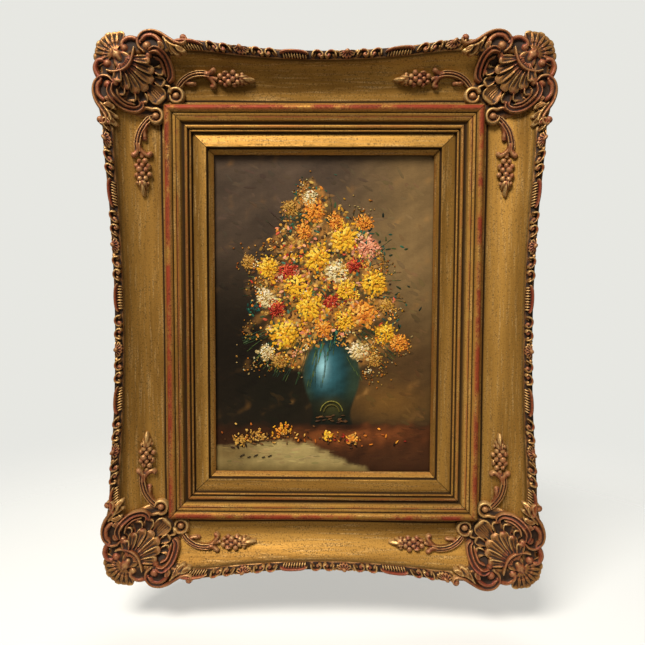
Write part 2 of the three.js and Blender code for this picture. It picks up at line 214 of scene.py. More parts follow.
def apply_modifier(obj, kind, **settings):
    only(obj)
    modifier = obj.modifiers.new(kind.title(), kind)
    for key, value in settings.items():
        setattr(modifier, key, value)
    bpy.ops.object.modifier_apply(modifier=modifier.name)


def smooth(obj, degrees=40.0):
    only(obj)
    bpy.ops.object.shade_smooth_by_angle(angle=math.radians(degrees))


def coordinates(obj):
    co = np.zeros(len(obj.data.vertices) * 3)
    obj.data.vertices.foreach_get("co", co)
    return co.reshape(-1, 3)


def set_coordinates(obj, co):
    obj.data.vertices.foreach_set("co", np.asarray(co, float).ravel())
    obj.data.update()


def bar(name, section, cuts, place):
    """A bar with the given (x, h) section, cut across into rings and put in place.

    place takes the vertices' part along the bar, from 0 to 1, with their x and h.
    """
    clear_selection()
    bpy.ops.mesh.primitive_circle_add(vertices=len(section), radius=1, fill_type="NGON")
    obj = named(name)
    outline = np.array([(0.0, x, h) for x, h in section])
    set_coordinates(obj, outline)
    bpy.ops.object.mode_set(mode="EDIT")
    bpy.ops.mesh.select_all(action="SELECT")
    bpy.ops.mesh.extrude_region_move(TRANSFORM_OT_translate={"value": (1, 0, 0)})
    # Edges are picked in edge mode, so that only the long ones are cut.
    bpy.ops.mesh.select_mode(type="EDGE")
    bpy.ops.mesh.select_all(action="DESELECT")
    bpy.ops.object.mode_set(mode="OBJECT")
    co = coordinates(obj)
    for edge in obj.data.edges:
        a, b = edge.vertices
        edge.select = bool(abs(co[a, 0] - co[b, 0]) > 0.5)
    bpy.ops.object.mode_set(mode="EDIT")
    bpy.ops.mesh.subdivide(number_cuts=cuts)
    bpy.ops.mesh.select_mode(type="VERT")
    bpy.ops.object.mode_set(mode="OBJECT")
    co = coordinates(obj)
    set_coordinates(obj, to_world(place(co[:, 0], co[:, 1], co[:, 2])))
    faces_out(obj)
    return obj


def mirrored(obj, name, sign_u, sign_v):
    """A copy with its own mesh, mirrored about the picture's middle lines."""
    only(obj)
    bpy.ops.object.duplicate()
    copy = named(name)
    co = coordinates(copy)
    co[:, 0] *= sign_u
    co[:, 2] = sign_v * (co[:, 2] + HANG_V * MM) - HANG_V * MM
    set_coordinates(copy, co)
    if sign_u * sign_v < 0:
        bpy.ops.object.mode_set(mode="EDIT")
        bpy.ops.mesh.select_all(action="SELECT")
        bpy.ops.mesh.flip_normals()
        bpy.ops.object.mode_set(mode="OBJECT")
    return copy


def store(obj, name, values):
    """Keeps one number for each vertex as a named attribute."""
    attribute = obj.data.attributes.get(name) or obj.data.attributes.new(name, "FLOAT", "POINT")
    attribute.data.foreach_set("value", np.asarray(values, float).astype(np.float32))


# How many times a carving's usual depth of hollow counts as deep.
DEEP = 1.7


def store_hollows(obj, rounds):
    """Stores how far each place lies in a hollow: 0.5 is flat, 1 is deep and 0 stands proud.

    rounds is how often the mesh is softened to find its general surface.
    """
    mesh = obj.data
    count = len(mesh.vertices)
    edges = np.zeros(len(mesh.edges) * 2, np.int32)
    mesh.edges.foreach_get("vertices", edges)
    a, b = edges.reshape(-1, 2).T
    normals = np.zeros(count * 3)
    mesh.vertex_normals.foreach_get("vector", normals)
    normals = normals.reshape(-1, 3)
    co = coordinates(obj)
    softened = co.copy()
    degree = np.bincount(a, minlength=count) + np.bincount(b, minlength=count)
    for _ in range(rounds):
        total = np.zeros_like(softened)
        for k in range(3):
            total[:, k] = (np.bincount(a, weights=softened[b, k], minlength=count)
                           + np.bincount(b, weights=softened[a, k], minlength=count))
        softened = 0.3 * softened + 0.7 * total / degree[:, None]
    rise = ((softened - co) * normals).sum(axis=1)
    store(obj, "hollow", np.clip(0.5 + 0.5 * rise / (DEEP * rise.std()), 0, 1))


def finish_piece(obj, nodes, material):
    """Gives a piece its material, attaches it to the root body and hides the CAD nodes that it stands for."""
    obj.data.materials.clear()
    obj.data.materials.append(material)
    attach(obj, "root")
    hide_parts(*nodes)


# ---------------------------------------------------------------- material helpers

class Value:
    """A shader socket that takes part in Python expressions by adding Math nodes."""

    def __init__(self, maker, socket):
        self.maker = maker
        self.socket = socket

    def math(self, operation, *others):
        return self.maker.node("ShaderNodeMath", {"operation": operation},
                               dict(enumerate((self, *others))))

    def __add__(self, other):
        return self.math("ADD", other)

    def __sub__(self, other):
        return self.math("SUBTRACT", other)

    def __mul__(self, other):
        return self.math("MULTIPLY", other)

    def __rsub__(self, other):
        return (self * -1.0) + other

    __radd__ = __add__
    __rmul__ = __mul__

    def clipped(self):
        return self.maker.node("ShaderNodeClamp", {}, {0: self})

    def step(self, low, high):
        """Rises smoothly from 0 at low to 1 at high."""
        settings = {"interpolation_type": "SMOOTHSTEP"}
        return self.maker.node("ShaderNodeMapRange", settings, {0: self, 1: low, 2: high})


class Maker:
    """Builds one material."""

    def __init__(self, name):
        self.material = bpy.data.materials.new(name)
        self.material.use_nodes = True
        self.tree = self.material.node_tree
        self.shader = self.tree.nodes["Principled BSDF"]

    def node(self, kind, settings, inputs, output=0):
        node = self.tree.nodes.new(kind)
        for key, value in settings.items():
            setattr(node, key, value)
        for key, value in inputs.items():
            self.put(node.inputs[key], value)
        return Value(self, node.outputs[output])

    def put(self, socket, value):
        if isinstance(value, Value):
            self.tree.links.new(value.socket, socket)
        elif isinstance(value, tuple) and len(value) == 3 and socket.type == "RGBA":
            socket.default_value = (*value, 1)
        else:
            socket.default_value = value

    def set(self, **inputs):
        for key, value in inputs.items():
            self.put(self.shader.inputs[key.replace("_", " ")], value)

    def place(self, scale=(1, 1, 1)):
        """Object coordinates in millimetres, each axis times its scale."""
        at = self.node("ShaderNodeTexCoord", {}, {}, "Object")
        big = tuple(1000.0 * s for s in scale)
        return self.node("ShaderNodeMapping", {"vector_type": "POINT"}, {"Vector": at, "Scale": big})

    def noise(self, scale, detail=3.0, rough=0.55, stretch=(1, 1, 1)):
        """Noise from 0 to 1 with blotches about 1/scale millimetres across."""
        inputs = {"Vector": self.place(stretch), "Scale": scale, "Detail": detail, "Roughness": rough}
        return self.node("ShaderNodeTexNoise", {}, inputs, 0)

    def attribute(self, name, output="Fac"):
        return self.node("ShaderNodeAttribute", {"attribute_name": name}, {}, output)

    def mix(self, factor, a, b):
        """Colour a where the factor is 0 and colour b where it is 1."""
        node = self.tree.nodes.new("ShaderNodeMix")
        node.data_type = "RGBA"
        self.put(node.inputs[0], factor)
        self.put(node.inputs[6], a)
        self.put(node.inputs[7], b)
        return Value(self, node.outputs[2])

    def bump(self, height, distance, strength=1.0):
        inputs = {"Height": height, "Distance": distance * MM, "Strength": strength}
        self.set(Normal=self.node("ShaderNodeBump", {}, inputs))


def shade(r, g, b):
    """A screen colour, 0 to 255, as the linear colour that shaders take."""
    def linear(c):
        c /= 255.0
        return c / 12.92 if c <= 0.04045 else ((c + 0.055) / 1.055) ** 2.4
    return tuple(linear(float(c)) for c in (r, g, b))


def gilding(name, look, stretch, is_carved):
    """Antique gold leaf over red bole, rubbed on proud places and brown in the hollows.

    Carved work is browner between its ridges, and a painted highlight of bright gold lies on the ridges
    themselves.
    """
    m = Maker(name)
    hollow = m.attribute("hollow")
    rub = m.attribute("rub")
    mottle = m.noise(0.035, 4.0, 0.6, stretch)
    grain = m.noise(0.55, 4.0, 0.65, stretch)
    speck = m.noise(0.8, 4.0, 0.7)
    patch = m.noise(0.05, 3.0, 0.6)
    gold = m.mix(mottle.step(0.34, 0.66), tuple(look.gold_dark), tuple(look.gold))
    gold = m.mix(grain.step(0.50, 0.72) * 0.5, gold, tuple(look.gold_grain_and_highlight))
    if is_carved:
        # Painted highlight: bright gold laid on the proud ridges, broken by speckle, stands in for light
        # catching them.
        ridge = (1 - hollow.step(0.14, 0.42)) * speck.step(0.25, 0.60)
        gold = m.mix(ridge * 0.85, m.mix(0.48, gold, tuple(look.bole_dark)), tuple(look.gold_grain_and_highlight))
        worn = (rub * (speck * 0.9 + patch * 0.6).step(0.44, 0.84) * 0.86).clipped()
        clay = m.mix(0.55, tuple(look.bole), tuple(look.bole_dark))
        dirt, rough, shine = hollow.step(0.48, 0.66), 0.35, 0.24
    else:
        worn = (rub * (speck * 0.5 + patch * 1.1).step(0.58, 0.88)).clipped()
        clay = m.mix(grain, tuple(look.bole), tuple(look.bole_dark))
        dirt, rough, shine = hollow.step(0.53, 0.80), 0.45, 0.08
    gold = m.mix(worn * 0.92, gold, clay)
    stipple = (speck + grain * 0.5).step(0.74, 0.92) * 0.62
    dark = (dirt * 0.96 + stipple * (1 - dirt)).clipped()
    colour = m.mix(dark, gold, tuple(look.patina))
    m.set(Base_Color=colour, Metallic=(1 - dark) * (1 - worn * 0.85) * 0.60,
          Roughness=(rough + grain * 0.18 + dark * 0.30).clipped(), Specular_IOR_Level=shine)
    m.bump(grain * 0.7 + speck * 0.5, 0.18, 0.6)
    return m.material


# ---------------------------------------------------------------- carving

class Carving:
    """Gathers closed shapes in picture coordinates, to be melted into one carved piece."""

    def __init__(self):
        self.points = []
        self.faces = []
        self.marks = []

    def mark(self, points, radius, strength=1.0):
        """Remembers places where the leaf is rubbed down to the bole."""
        self.marks.append((np.asarray(points, float)[:, :2], radius, strength))

    def add(self, rows):
        """Adds a closed skin over rings of points, ended by fans."""
        rows = np.asarray(rows, float)
        start = len(self.points)
        count = rows.shape[1]
        self.points.extend(rows.reshape(-1, 3).tolist())
        for i in range(rows.shape[0] - 1):
            for j in range(count):
                a = start + i * count + j
                b = start + i * count + (j + 1) % count
                self.faces.append((a, b, b + count, a + count))
        last = start + (rows.shape[0] - 1) * count
        for ring, base, turn in ((rows[0], start, 1), (rows[-1], last, -1)):
            tip = len(self.points)
            self.points.append(ring.mean(axis=0).tolist())
            for j in range(count):
                pair = (base + j, base + (j + 1) % count)[::turn]
                self.faces.append((tip, pair[1], pair[0]))

    def ball(self, u, v, h, radius):
        bands, spokes = 10, 16
        turn = 2 * math.pi * np.arange(spokes) / spokes
        rows = []
        for i in range(1, bands):
            tilt = math.pi * i / bands
            rows.append(np.stack([
                u + radius * math.sin(tilt) * np.cos(turn),
                v + radius * math.sin(tilt) * np.sin(turn),
                h - radius * math.cos(tilt) * np.ones(spokes),
            ], axis=-1))
        self.add(rows)

    def sweep(self, path, widths, base, rise, section, foot=3.0):
        """A grooved roll along a path: section is (across -1..1, height 0..1) over the base.

        widths, base heights and rises are given per path point; the roll runs down foot
        millimetres below its base so that it beds into what lies under it.
        """
        path = np.asarray(path, float)
        count = len(path)
        tangent = np.gradient(path, axis=0)
        tangent /= np.linalg.norm(tangent, axis=1)[:, None] + 1e-9
        side = np.stack([-tangent[:, 1], tangent[:, 0]], axis=1)
        widths = np.broadcast_to(np.asarray(widths, float), (count,))
        base = np.broadcast_to(np.asarray(base, float), (count,))
        rise = np.broadcast_to(np.asarray(rise, float), (count,))
        rows = []
        for i in range(count):
            row = [(path[i, 0] + side[i, 0] * a * widths[i], path[i, 1] + side[i, 1] * a * widths[i],
                    base[i] + b * rise[i]) for a, b in section]
            row.append((path[i, 0] + side[i, 0] * widths[i] * 0.9,
                        path[i, 1] + side[i, 1] * widths[i] * 0.9, base[i] - foot))
            row.append((path[i, 0] - side[i, 0] * widths[i] * 0.9,
                        path[i, 1] - side[i, 1] * widths[i] * 0.9, base[i] - foot))
            rows.append(row)
        self.add(rows)

    def petal(self, root, tip, width, base, rise, scoop=0.0, blunt=0.62, spread=0.75, rib=0.0,
              tip_lift=0.0, foot=3.0, bow=0.0, rim=0.0):
        """A leaf or lobe from root to tip, with its widest place at the part blunt.

        scoop sinks its middle below its rim, rib lifts a vein along it, and bow bends it
        sideways. base is the height at the root and tip, as a pair or one number. rim is
        the half width of a cord that runs round its edge.
        """
        root = np.asarray(root, float)
        tip = np.asarray(tip, float)
        base = np.broadcast_to(np.asarray(base, float), (2,))
        stations, across = 15, 13
        line = tip - root
        normal = np.array([-line[1], line[0]])
        rows, edges = [], ([], [])
        for i in range(stations):
            s = 0.02 + 0.96 * i / (stations - 1)
            outline = (math.sin(math.pi * 0.5 * min(1.0, s / blunt)) ** spread if s < blunt
                       else math.sqrt(max(0.0, 1 - ((s - blunt) / (1 - blunt)) ** 2)))
            outline = max(outline, 0.10)
            centre = root + line * s + normal * bow * math.sin(math.pi * s)
            direction = line + normal * bow * math.pi * math.cos(math.pi * s)
            direction = direction / np.linalg.norm(direction)
            side = np.array([-direction[1], direction[0]])
            level = base[0] + (base[1] - base[0]) * s
            high = rise * (0.62 + 0.38 * math.sin(math.pi * min(1.0, s * 0.9 + 0.1))) + tip_lift * s * s
            row = []
            for j in range(across):
                t = -1 + 2 * j / (across - 1)
                q = max(abs(t), max(0.0, (s - 0.55) / 0.45))
                dome = math.sqrt(max(0.0, 1 - abs(t) ** (2.2 if scoop == 0 else 7)))
                dip = scoop * (1 - min(1.0, q / 0.82) ** 2.2) * min(1.0, 3 * s)
                vein = rib * math.exp(-(t / 0.16) ** 2) * math.sin(math.pi * s)
                at = centre + side * (t * width * 0.5 * outline)
                row.append((at[0], at[1], level + high * dome * (1 - dip) + vein))
            if s > 0.42:
                for t, edge in ((-0.9, edges[0]), (0.9, edges[1])):
                    at = centre + side * (t * width * 0.5 * outline)
                    edge.append((at[0], at[1], level + 0.78 * high))
            for t in (0.86, 0.0, -0.86):
                at = centre + side * (t * width * 0.5 * outline)
                row.append((at[0], at[1], level - foot))
            rows.append(row)
        self.add(rows)
        if rim:
            cord = along(edges[0] + edges[1][::-1], 30)
            self.sweep(cord[:, :2], rim * taper(30, 0.5, 0.5), cord[:, 2] - 0.6, 1.5, ROUND, foot=1.5)

    def melt(self, name, voxel, relax):
        """Joins all the shapes into one closed mesh and relaxes it a little."""
        obj = new_mesh(name, self.points, self.faces)
        faces_out(obj)
        apply_modifier(obj, "REMESH", mode="VOXEL", voxel_size=voxel * MM, adaptivity=0.0)
        apply_modifier(obj, "SMOOTH", factor=0.5, iterations=relax)
        return obj


def along(points, count):
    """A smooth line through points, as count points at even steps."""
    p = np.asarray(points, float)
    ends = np.vstack([2 * p[0] - p[1], p, 2 * p[-1] - p[-2]])
    fine = []
    for i in range(len(p) - 1):
        a, b, c, d = ends[i:i + 4]
        for q in np.linspace(0, 1, 24, endpoint=False):
            fine.append(0.5 * (2 * b + (c - a) * q + (2 * a - 5 * b + 4 * c - d) * q * q
                               + (3 * b - a - 3 * c + d) * q ** 3))
    fine.append(p[-1])
    fine = np.array(fine)
    step = np.concatenate([[0], np.cumsum(np.linalg.norm(np.diff(fine[:, :2], axis=0), axis=1))])
    at = np.linspace(0, step[-1], count)
    return np.stack([np.interp(at, step, fine[:, k]) for k in range(fine.shape[1])], axis=1)


# Sections of a roll: (distance across from 1 to -1, height from 0 to 1).
ROLL = [(1.0, 0.0), (0.98, 0.45), (0.82, 0.86), (0.6, 1.0), (0.4, 0.88), (0.2, 0.70), (0.0, 0.64),
        (-0.2, 0.70), (-0.4, 0.88), (-0.6, 1.0), (-0.82, 0.86), (-0.98, 0.45), (-1.0, 0.0)]
ROUND = [(1.0, 0.0), (0.92, 0.5), (0.7, 0.82), (0.36, 0.97), (0.0, 1.0),
         (-0.36, 0.97), (-0.7, 0.82), (-0.92, 0.5), (-1.0, 0.0)]
FLUTED = [(1.0, 0.0), (0.97, 0.45), (0.84, 0.78), (0.68, 0.86), (0.52, 0.70), (0.36, 0.52), (0.2, 0.88),
          (0.0, 1.0), (-0.2, 0.88), (-0.36, 0.52), (-0.52, 0.70), (-0.68, 0.86), (-0.84, 0.78),
          (-0.97, 0.45), (-1.0, 0.0)]


def taper(count, start, end, sharp=0.16):
    """Widths along a roll: 0..1, coming up quickly from both ends to the given parts."""
    s = np.linspace(0, 1, count)
    rise = np.clip(s / sharp, 0, 1)
    fall = np.clip((1 - s) / sharp, 0, 1)
    return (start + (1 - start) * np.sin(rise * math.pi / 2)) * (
        end + (1 - end) * np.sin(fall * math.pi / 2))


def spiral(u, v, radius, start, turns, count=40, tightness=0.62):
    """A path that winds in about (u, v) from a radius and an angle in degrees."""
    part = np.linspace(0, 1, count)
    angle = math.radians(start) + 2 * math.pi * turns * part
    reach = radius * (1 - tightness * part)
    return np.stack([u + reach * np.cos(angle), v + reach * np.sin(angle)], axis=1)


def on_cove(path, lift):
    """Heights of a path that runs at the given lift over the cove."""
    path = np.asarray(path, float)
    return cove_height(path[:, 0], path[:, 1]) + lift


# The outline of the gesso ground under a corner's carving.
GROUND_OUTLINE = [
    (125, 195), (129, 187.4), (138, 187.0), (142.2, 172), (149, 169.2), (158, 173), (170, 177),
    (181, 178.5), (186, 168.5), (191, 171), (193.5, 185), (190.5, 199), (191, 214), (192.5, 226),
    (184, 236), (172, 238.5), (158, 235.5), (148, 239.5), (134, 235.5), (121, 234.5), (129.5, 227),
    (132, 215), (129, 203),
]
GROUND_MIDDLE = (162.0, 207.0)
# Past this distance across the rail the ground becomes a skirt, which hangs down to its foot.
SKIRT_FROM = 42.0
GROUND_FOOT = 24.0

# The big inner shell: where each lobe ends, and how wide it is there.
SHELL_HUB = (173.0, 219.0)
SHELL_LOBES = [
    ((175.6, 199.4), 7.4), ((169.2, 194.6), 7.8), ((161.4, 192.6), 8.2), ((153.6, 195.8), 8.6),
    ((147.8, 202.8), 8.2), ((146.2, 210.6), 7.4), ((148.2, 218.6), 6.8),
]
# The apron of scoops behind it: root, tip and width.
APRON_LOBES = [
    ((154.5, 202.0), (141.2, 187.6), 16.0), ((159.5, 198.0), (156.6, 185.0), 9.0),
    ((166.5, 198.5), (166.4, 185.4), 9.0), ((172.5, 200.0), (174.0, 189.5), 7.0),
    ((150.0, 207.0), (138.6, 201.6), 8.0), ((149.5, 213.5), (138.2, 210.6), 7.5),
]
# The small outer fan: its middle, how far its lobes reach, and their directions in degrees.
FAN_HUB = (175.8, 222.2)
FAN_REACH = 20.4
FAN_ANGLES = np.linspace(-20, 100, 8)


def carve_ground(carving):
    """A thin skin of gesso that follows the cove and hangs a skirt outside the rail."""
    line = along(GROUND_OUTLINE + GROUND_OUTLINE[:1], 121)[:-1, :2]
    middle = np.array(GROUND_MIDDLE)
    top, bottom = [], []
    for part in np.linspace(0.04, 1, 22):
        at = middle + (line - middle) * part
        level = cove_height(at[:, 0], at[:, 1])
        outside = across_rail(at[:, 0], at[:, 1]) > SKIRT_FROM
        top.append(np.column_stack([at, level + 3.1 * math.sqrt(1 - 0.9 * part ** 8)]))
        under = np.where(outside, GROUND_FOOT + 8.0 * (1 - part), level - 2.0)
        bottom.append(np.column_stack([at, under]))
    carving.add(top + bottom[::-1])


def roll(carving, points, half, base, rise, section, rub=0.0, ends=(0.45, 0.45), foot=12, count=40):
    """A roll along a smooth line. base None lays it on the cove."""
    line = along(points, count)
    level = on_cove(line, 1.0) if base is None else base
    carving.sweep(line, half * taper(count, *ends), level, rise, section, foot=foot)
    if rub:
        carving.mark(line[2:-2:2], half * 0.95, rub)
    return line


def bead(carving, u, v, h, radius, rub=1.0):
    """A rubbed ball. h None sets it on the cove."""
    level = float(cove_height(u, v)) + 0.9 * radius + 1.6 if h is None else h
    carving.ball(u, v, level, radius)
    carving.mark([(u, v)], radius + 0.5, rub)


def carve_fan(carving):
    """The small outer shell: wide shallow flutes with curled tips and thin ridges between."""
    hub = np.array(FAN_HUB)
    step = math.radians(FAN_ANGLES[1] - FAN_ANGLES[0])
    for k, angle in enumerate(np.radians(FAN_ANGLES)):
        reach = FAN_REACH * (1.0 if k % 2 else 0.96)
        way = np.array([math.cos(angle), math.sin(angle)])
        carving.petal(hub + way * 2.5, hub + way * reach, 2 * reach * math.tan(step / 2) * 1.10,
                      (43.6, 38.6), 3.8, scoop=0.42, blunt=0.84, spread=1.1, tip_lift=2.6, foot=13,
                      rib=0.7, rim=0.62)
    carving.ball(*FAN_HUB, 43.4, 4.6)
    carving.petal(hub + (3.0, 4.5), hub - (3.5, 5.0), 6.4, (43.5, 43.5), 4.4, foot=10)
    carving.mark([FAN_HUB], 5.4, 0.8)
    carving.mark([hub + FAN_REACH * 0.5 * np.array([math.cos(a), math.sin(a)])
                  for a in np.radians(FAN_ANGLES)], 3.0, 0.5)


def carve_shell(carving):
    """The big inner shell of ridged lobes, the collar above it, and the apron behind."""
    for k, (root, tip, width) in enumerate(APRON_LOBES):
        levels = on_cove([root, tip], 1.5)
        carving.petal(root, tip, width, (levels[0] + 1.0, levels[1]), 5.4, scoop=0.50, blunt=0.72,
                      spread=0.8, tip_lift=1.8, foot=6, rim=0.8 if k == 0 else 0.65)
    root, tip = (np.array(end) for end in APRON_LOBES[0][:2])
    side = np.array([-(tip - root)[1], (tip - root)[0]]) / np.linalg.norm(tip - root)
    for across in (-4.6, -2.3, 0.0, 2.3, 4.6):
        path = np.array([root + (tip - root) * s + side * across * (0.45 + 0.55 * s)
                         for s in np.linspace(0.15, 0.86, 12)])
        carving.sweep(path, 0.62, on_cove(path, 4.5), 1.7, ROUND, foot=3)
    hub = np.array(SHELL_HUB)
    for tip, width in SHELL_LOBES:
        tip = np.array(tip)
        way = (tip - hub) / np.linalg.norm(tip - hub)
        level = float(cove_height(*tip))
        carving.petal(hub + way * 4.0, tip, width, (42.4, level + 3.8), 5.6, scoop=0.34, blunt=0.84,
                      spread=1.0, tip_lift=2.2, rib=0.9, foot=12, rim=0.62)
        carving.mark([hub + way * d for d in (6, 8, 10, 12)], 3.0, 0.72)
        carving.mark([tip], 2.4, 0.7)
    # The collar is a smooth saddle that runs down from the fan to the roots of the lobes.
    carving.petal((177.5, 224.0), (165.8, 212.4), 17.0, (42.4, 42.2), 4.0, scoop=0.30, blunt=0.55, foot=12)
    roll(carving, [(160.6, 228.4), (161.8, 222.4), (163.8, 216.4), (167.6, 211.6), (173.0, 208.6),
                   (179.4, 207.8), (184.6, 209.2)], 1.5, 43.4, 4.4, ROUND, 0.5, (0.4, 0.4), 13)


def carve_short_curls(carving):
    """The two hooked curls between the shells, each with a fat head."""
    roll(carving, [(155.0, 231.6), (159.6, 235.4), (165.4, 236.2), (170.4, 233.0), (171.2, 228.6)],
         2.7, 39.4, 7.0, ROUND, 0.95, (0.3, 0.9), 14)
    bead(carving, 169.6, 228.2, 43.0, 3.5)
    roll(carving, [(188.6, 201.4), (192.8, 206.0), (194.6, 212.0), (192.0, 217.4), (187.0, 218.0)],
         2.7, 39.4, 7.0, ROUND, 0.95, (0.3, 0.9), 14)
    bead(carving, 184.2, 215.4, 43.0, 3.6)
    for root, tip in (((166.0, 231.0), (158.0, 225.0)), ((168.5, 224.5), (161.0, 219.5)),
                      ((186.0, 211.0), (181.0, 203.5)), ((189.6, 208.6), (186.4, 199.6))):
        carving.petal(root, tip, 5.0, (41.0, 40.0), 3.4, scoop=0.35, blunt=0.7, foot=10, rim=0.5)


def carve_borders(carving):
    """Fat C-scrolls that hold the shell on both sides, each with a thinner roll inside."""
    roll(carving, [(180.4, 198.6), (182.0, 191.8), (178.2, 184.6), (171.2, 179.8), (163.4, 179.2),
                   (158.8, 182.4), (159.4, 186.4)], 3.1, None, 6.0, ROLL, 0.75, (0.5, 0.6), 6, 46)
    roll(carving, [(176.6, 194.0), (175.2, 188.4), (170.0, 184.4), (163.6, 183.4)], 1.3, None, 5.4,
         ROUND, 0.5, (0.4, 0.4), 6, 26)
    roll(carving, [(148.6, 224.6), (142.6, 226.4), (136.4, 222.4), (133.2, 214.8), (132.8, 207.4),
                   (135.6, 203.6)], 3.1, None, 6.0, ROLL, 0.95, (0.5, 0.6), 6, 46)
    roll(carving, [(145.4, 221.6), (140.6, 219.4), (138.4, 213.4), (137.2, 207.6)], 1.4, None, 5.4,
         ROUND, 0.9, (0.4, 0.4), 6, 26)
    bead(carving, 177.6, 199.2, None, 2.9, 0.8)
    bead(carving, 159.8, 184.6, None, 2.2, 0.5)
    bead(carving, 149.2, 222.4, None, 2.7, 0.8)
    for root, tip in (((173.5, 186.5), (169.5, 190.0)), ((168.0, 183.4), (164.8, 187.6)),
                      ((139.4, 217.2), (143.4, 214.8)), ((138.0, 211.2), (142.2, 210.0))):
        level = on_cove([root, tip], 2.0)
        carving.petal(root, tip, 3.4, level, 3.0, blunt=0.5, foot=5)


def carve_outer_scrolls(carving):
    """The scrolls along the outer edge: a lip over a fat tongue, an eye, leaves and an end curl."""
    lips = (
        [(152.4, 224.6), (156.6, 228.6), (157.6, 234.6), (153.6, 240.2), (146.6, 242.0), (139.4, 240.4),
         (132.6, 236.4), (126.2, 232.6), (120.8, 231.4), (117.0, 233.2), (116.8, 236.8)],
        [(178.8, 199.6), (183.4, 204.0), (189.4, 204.4), (194.6, 199.8), (196.2, 192.4), (194.2, 184.2),
         (190.0, 177.6), (186.2, 171.8), (185.4, 167.4), (188.0, 164.6), (191.2, 165.6)],
    )
    tongues = (
        [(155.0, 233.6), (151.4, 237.4), (145.8, 238.2), (141.0, 235.6), (138.2, 231.6)],
        [(189.4, 201.4), (192.4, 197.0), (192.4, 191.0), (189.8, 186.8), (186.2, 184.6)],
    )
    tails = (
        [(136.4, 236.4), (131.4, 231.6), (126.6, 229.2), (122.0, 228.2)],
        [(190.2, 182.6), (185.6, 177.0), (182.4, 172.0), (181.0, 167.0)],
    )
    leaves = (
        [((134.6, 233.6), (129.6, 223.4)), ((130.0, 231.4), (122.6, 223.0)), ((140.6, 232.4), (136.6, 226.4)),
         ((125.6, 229.8), (116.8, 225.6))],
        [((187.6, 181.0), (178.4, 177.6)), ((184.8, 176.4), (176.6, 171.2)), ((186.4, 186.0), (180.6, 183.4)),
         ((182.6, 171.8), (177.2, 163.8))],
    )
    eyes, curls = ((150.2, 229.8), (183.8, 197.8)), ((119.4, 236.6), (191.2, 168.6))
    for lip, tongue, tail, leaf, eye, curl in zip(lips, tongues, tails, leaves, eyes, curls):
        roll(carving, lip, 1.9, 40.4, 6.8, ROUND, 0.55, (0.5, 0.6), 14, 64)
        roll(carving, tongue, 2.5, 40.4, 6.2, ROUND, 0.95, (0.35, 0.9), 13, 34)
        bead(carving, *tongue[-1], 42.6, 2.7, 0.5)
        bead(carving, *eye, 43.2, 3.7)
        bead(carving, *curl, 43.6, 3.1)
        roll(carving, tail, 1.5, None, 5.0, ROUND, 0.0, (0.3, 0.4), 8, 30)
        for k, (root, tip) in enumerate(leaf):
            level = on_cove([root, tip], 1.2)
            carving.petal(root, tip, 4.8, (level[0] + 2.0, level[1] + 0.4), 4.2, scoop=0.25, blunt=0.45,
                          rib=0.7, bow=0.14 if k % 2 else -0.12, foot=7)


def carve_volutes(carving):
    """The two small volutes beside the inner frame, each wound once round a ball."""
    turns = (
        ((129.4, 192.4), [(138.6, 200.8), (134.6, 199.2)], 25, 1.02),
        ((147.6, 175.0), [(159.4, 178.6), (155.6, 181.4)], 65, 0.86),
    )
    for (u, v), start, angle, wound in turns:
        wind = spiral(u, v, 6.3, angle, wound, tightness=0.20)
        line = roll(carving, np.vstack([start, wind[::4]]), 2.0, None, 5.4, ROUND, 0.0, (0.4, 0.4), 4, 56)
        carving.sweep(line[:30, :2] + (np.array([u, v]) - line[:30, :2]) * -0.18, 0.7,
                      on_cove(line[:30], 1.2), 3.6, ROUND, foot=3)
        bead(carving, u, v, float(cove_height(u, v)) + 3.6, 3.2, 0.8)


def carve_corner(carving):
    carve_ground(carving)
    carve_shell(carving)
    carve_fan(carving)
    carve_short_curls(carving)
    carve_borders(carving)
    carve_outer_scrolls(carving)
    carve_volutes(carving)


# Seed of the small differences between a cluster's berries.
CLUSTER_SEED = 5


def carve_cluster(carving, start, end, width):
    """A cone of packed berries along a line, with three pointed leaves at its tip."""
    start, end = np.array(start, float), np.array(end, float)
    way = (end - start) / np.linalg.norm(end - start)
    side = np.array([-way[1], way[0]])
    length = np.linalg.norm(end - start)

    def at(along_line, across):
        return start + way * along_line * length + side * across * width

    rows = ((0.05, (-0.42, 0.42), 2.5), (0.17, (-0.85, 0.0, 0.85), 2.7), (0.30, (-0.5, 0.5), 2.9),
            (0.42, (-0.95, 0.0, 0.95), 2.6), (0.54, (-0.45, 0.45), 2.7), (0.65, (-0.75, 0.0, 0.75), 2.2))
    rng = random.Random(CLUSTER_SEED)
    for along_line, places, size in rows:
        for across in places:
            u, v = at(along_line + rng.uniform(-0.025, 0.025), across * rng.uniform(0.85, 1.1))
            radius = size * rng.uniform(0.78, 1.08)
            carving.ball(u, v, float(cove_height(u, v)) + 3.8 - 1.3 * abs(across), radius)
            if rng.random() < 0.5:
                # Some berries have opened into small pointed buds.
                tip = np.array([u, v]) + way * radius * 1.5 + side * rng.uniform(-1.2, 1.2)
                level = on_cove([(u, v), tip], 1.8)
                carving.petal((u, v) - way * radius, tip, radius * 1.5, level, 3.6, blunt=0.45, rib=0.5)
            carving.mark([(u, v)], size * 0.8, 0.9 if along_line < 0.5 else 0.5)
    for along_line, across, reach in ((0.62, 0.0, 0.38), (0.58, 0.45, 0.24), (0.58, -0.45, 0.24)):
        root, tip = at(along_line, across * 0.6), at(along_line + reach, across * 0.9)
        level = on_cove([root, tip], 0.6)
        carving.petal(root, tip, 5.2, (level[0] + 2.6, level[1]), 3.6, blunt=0.4, rib=0.6, foot=3)


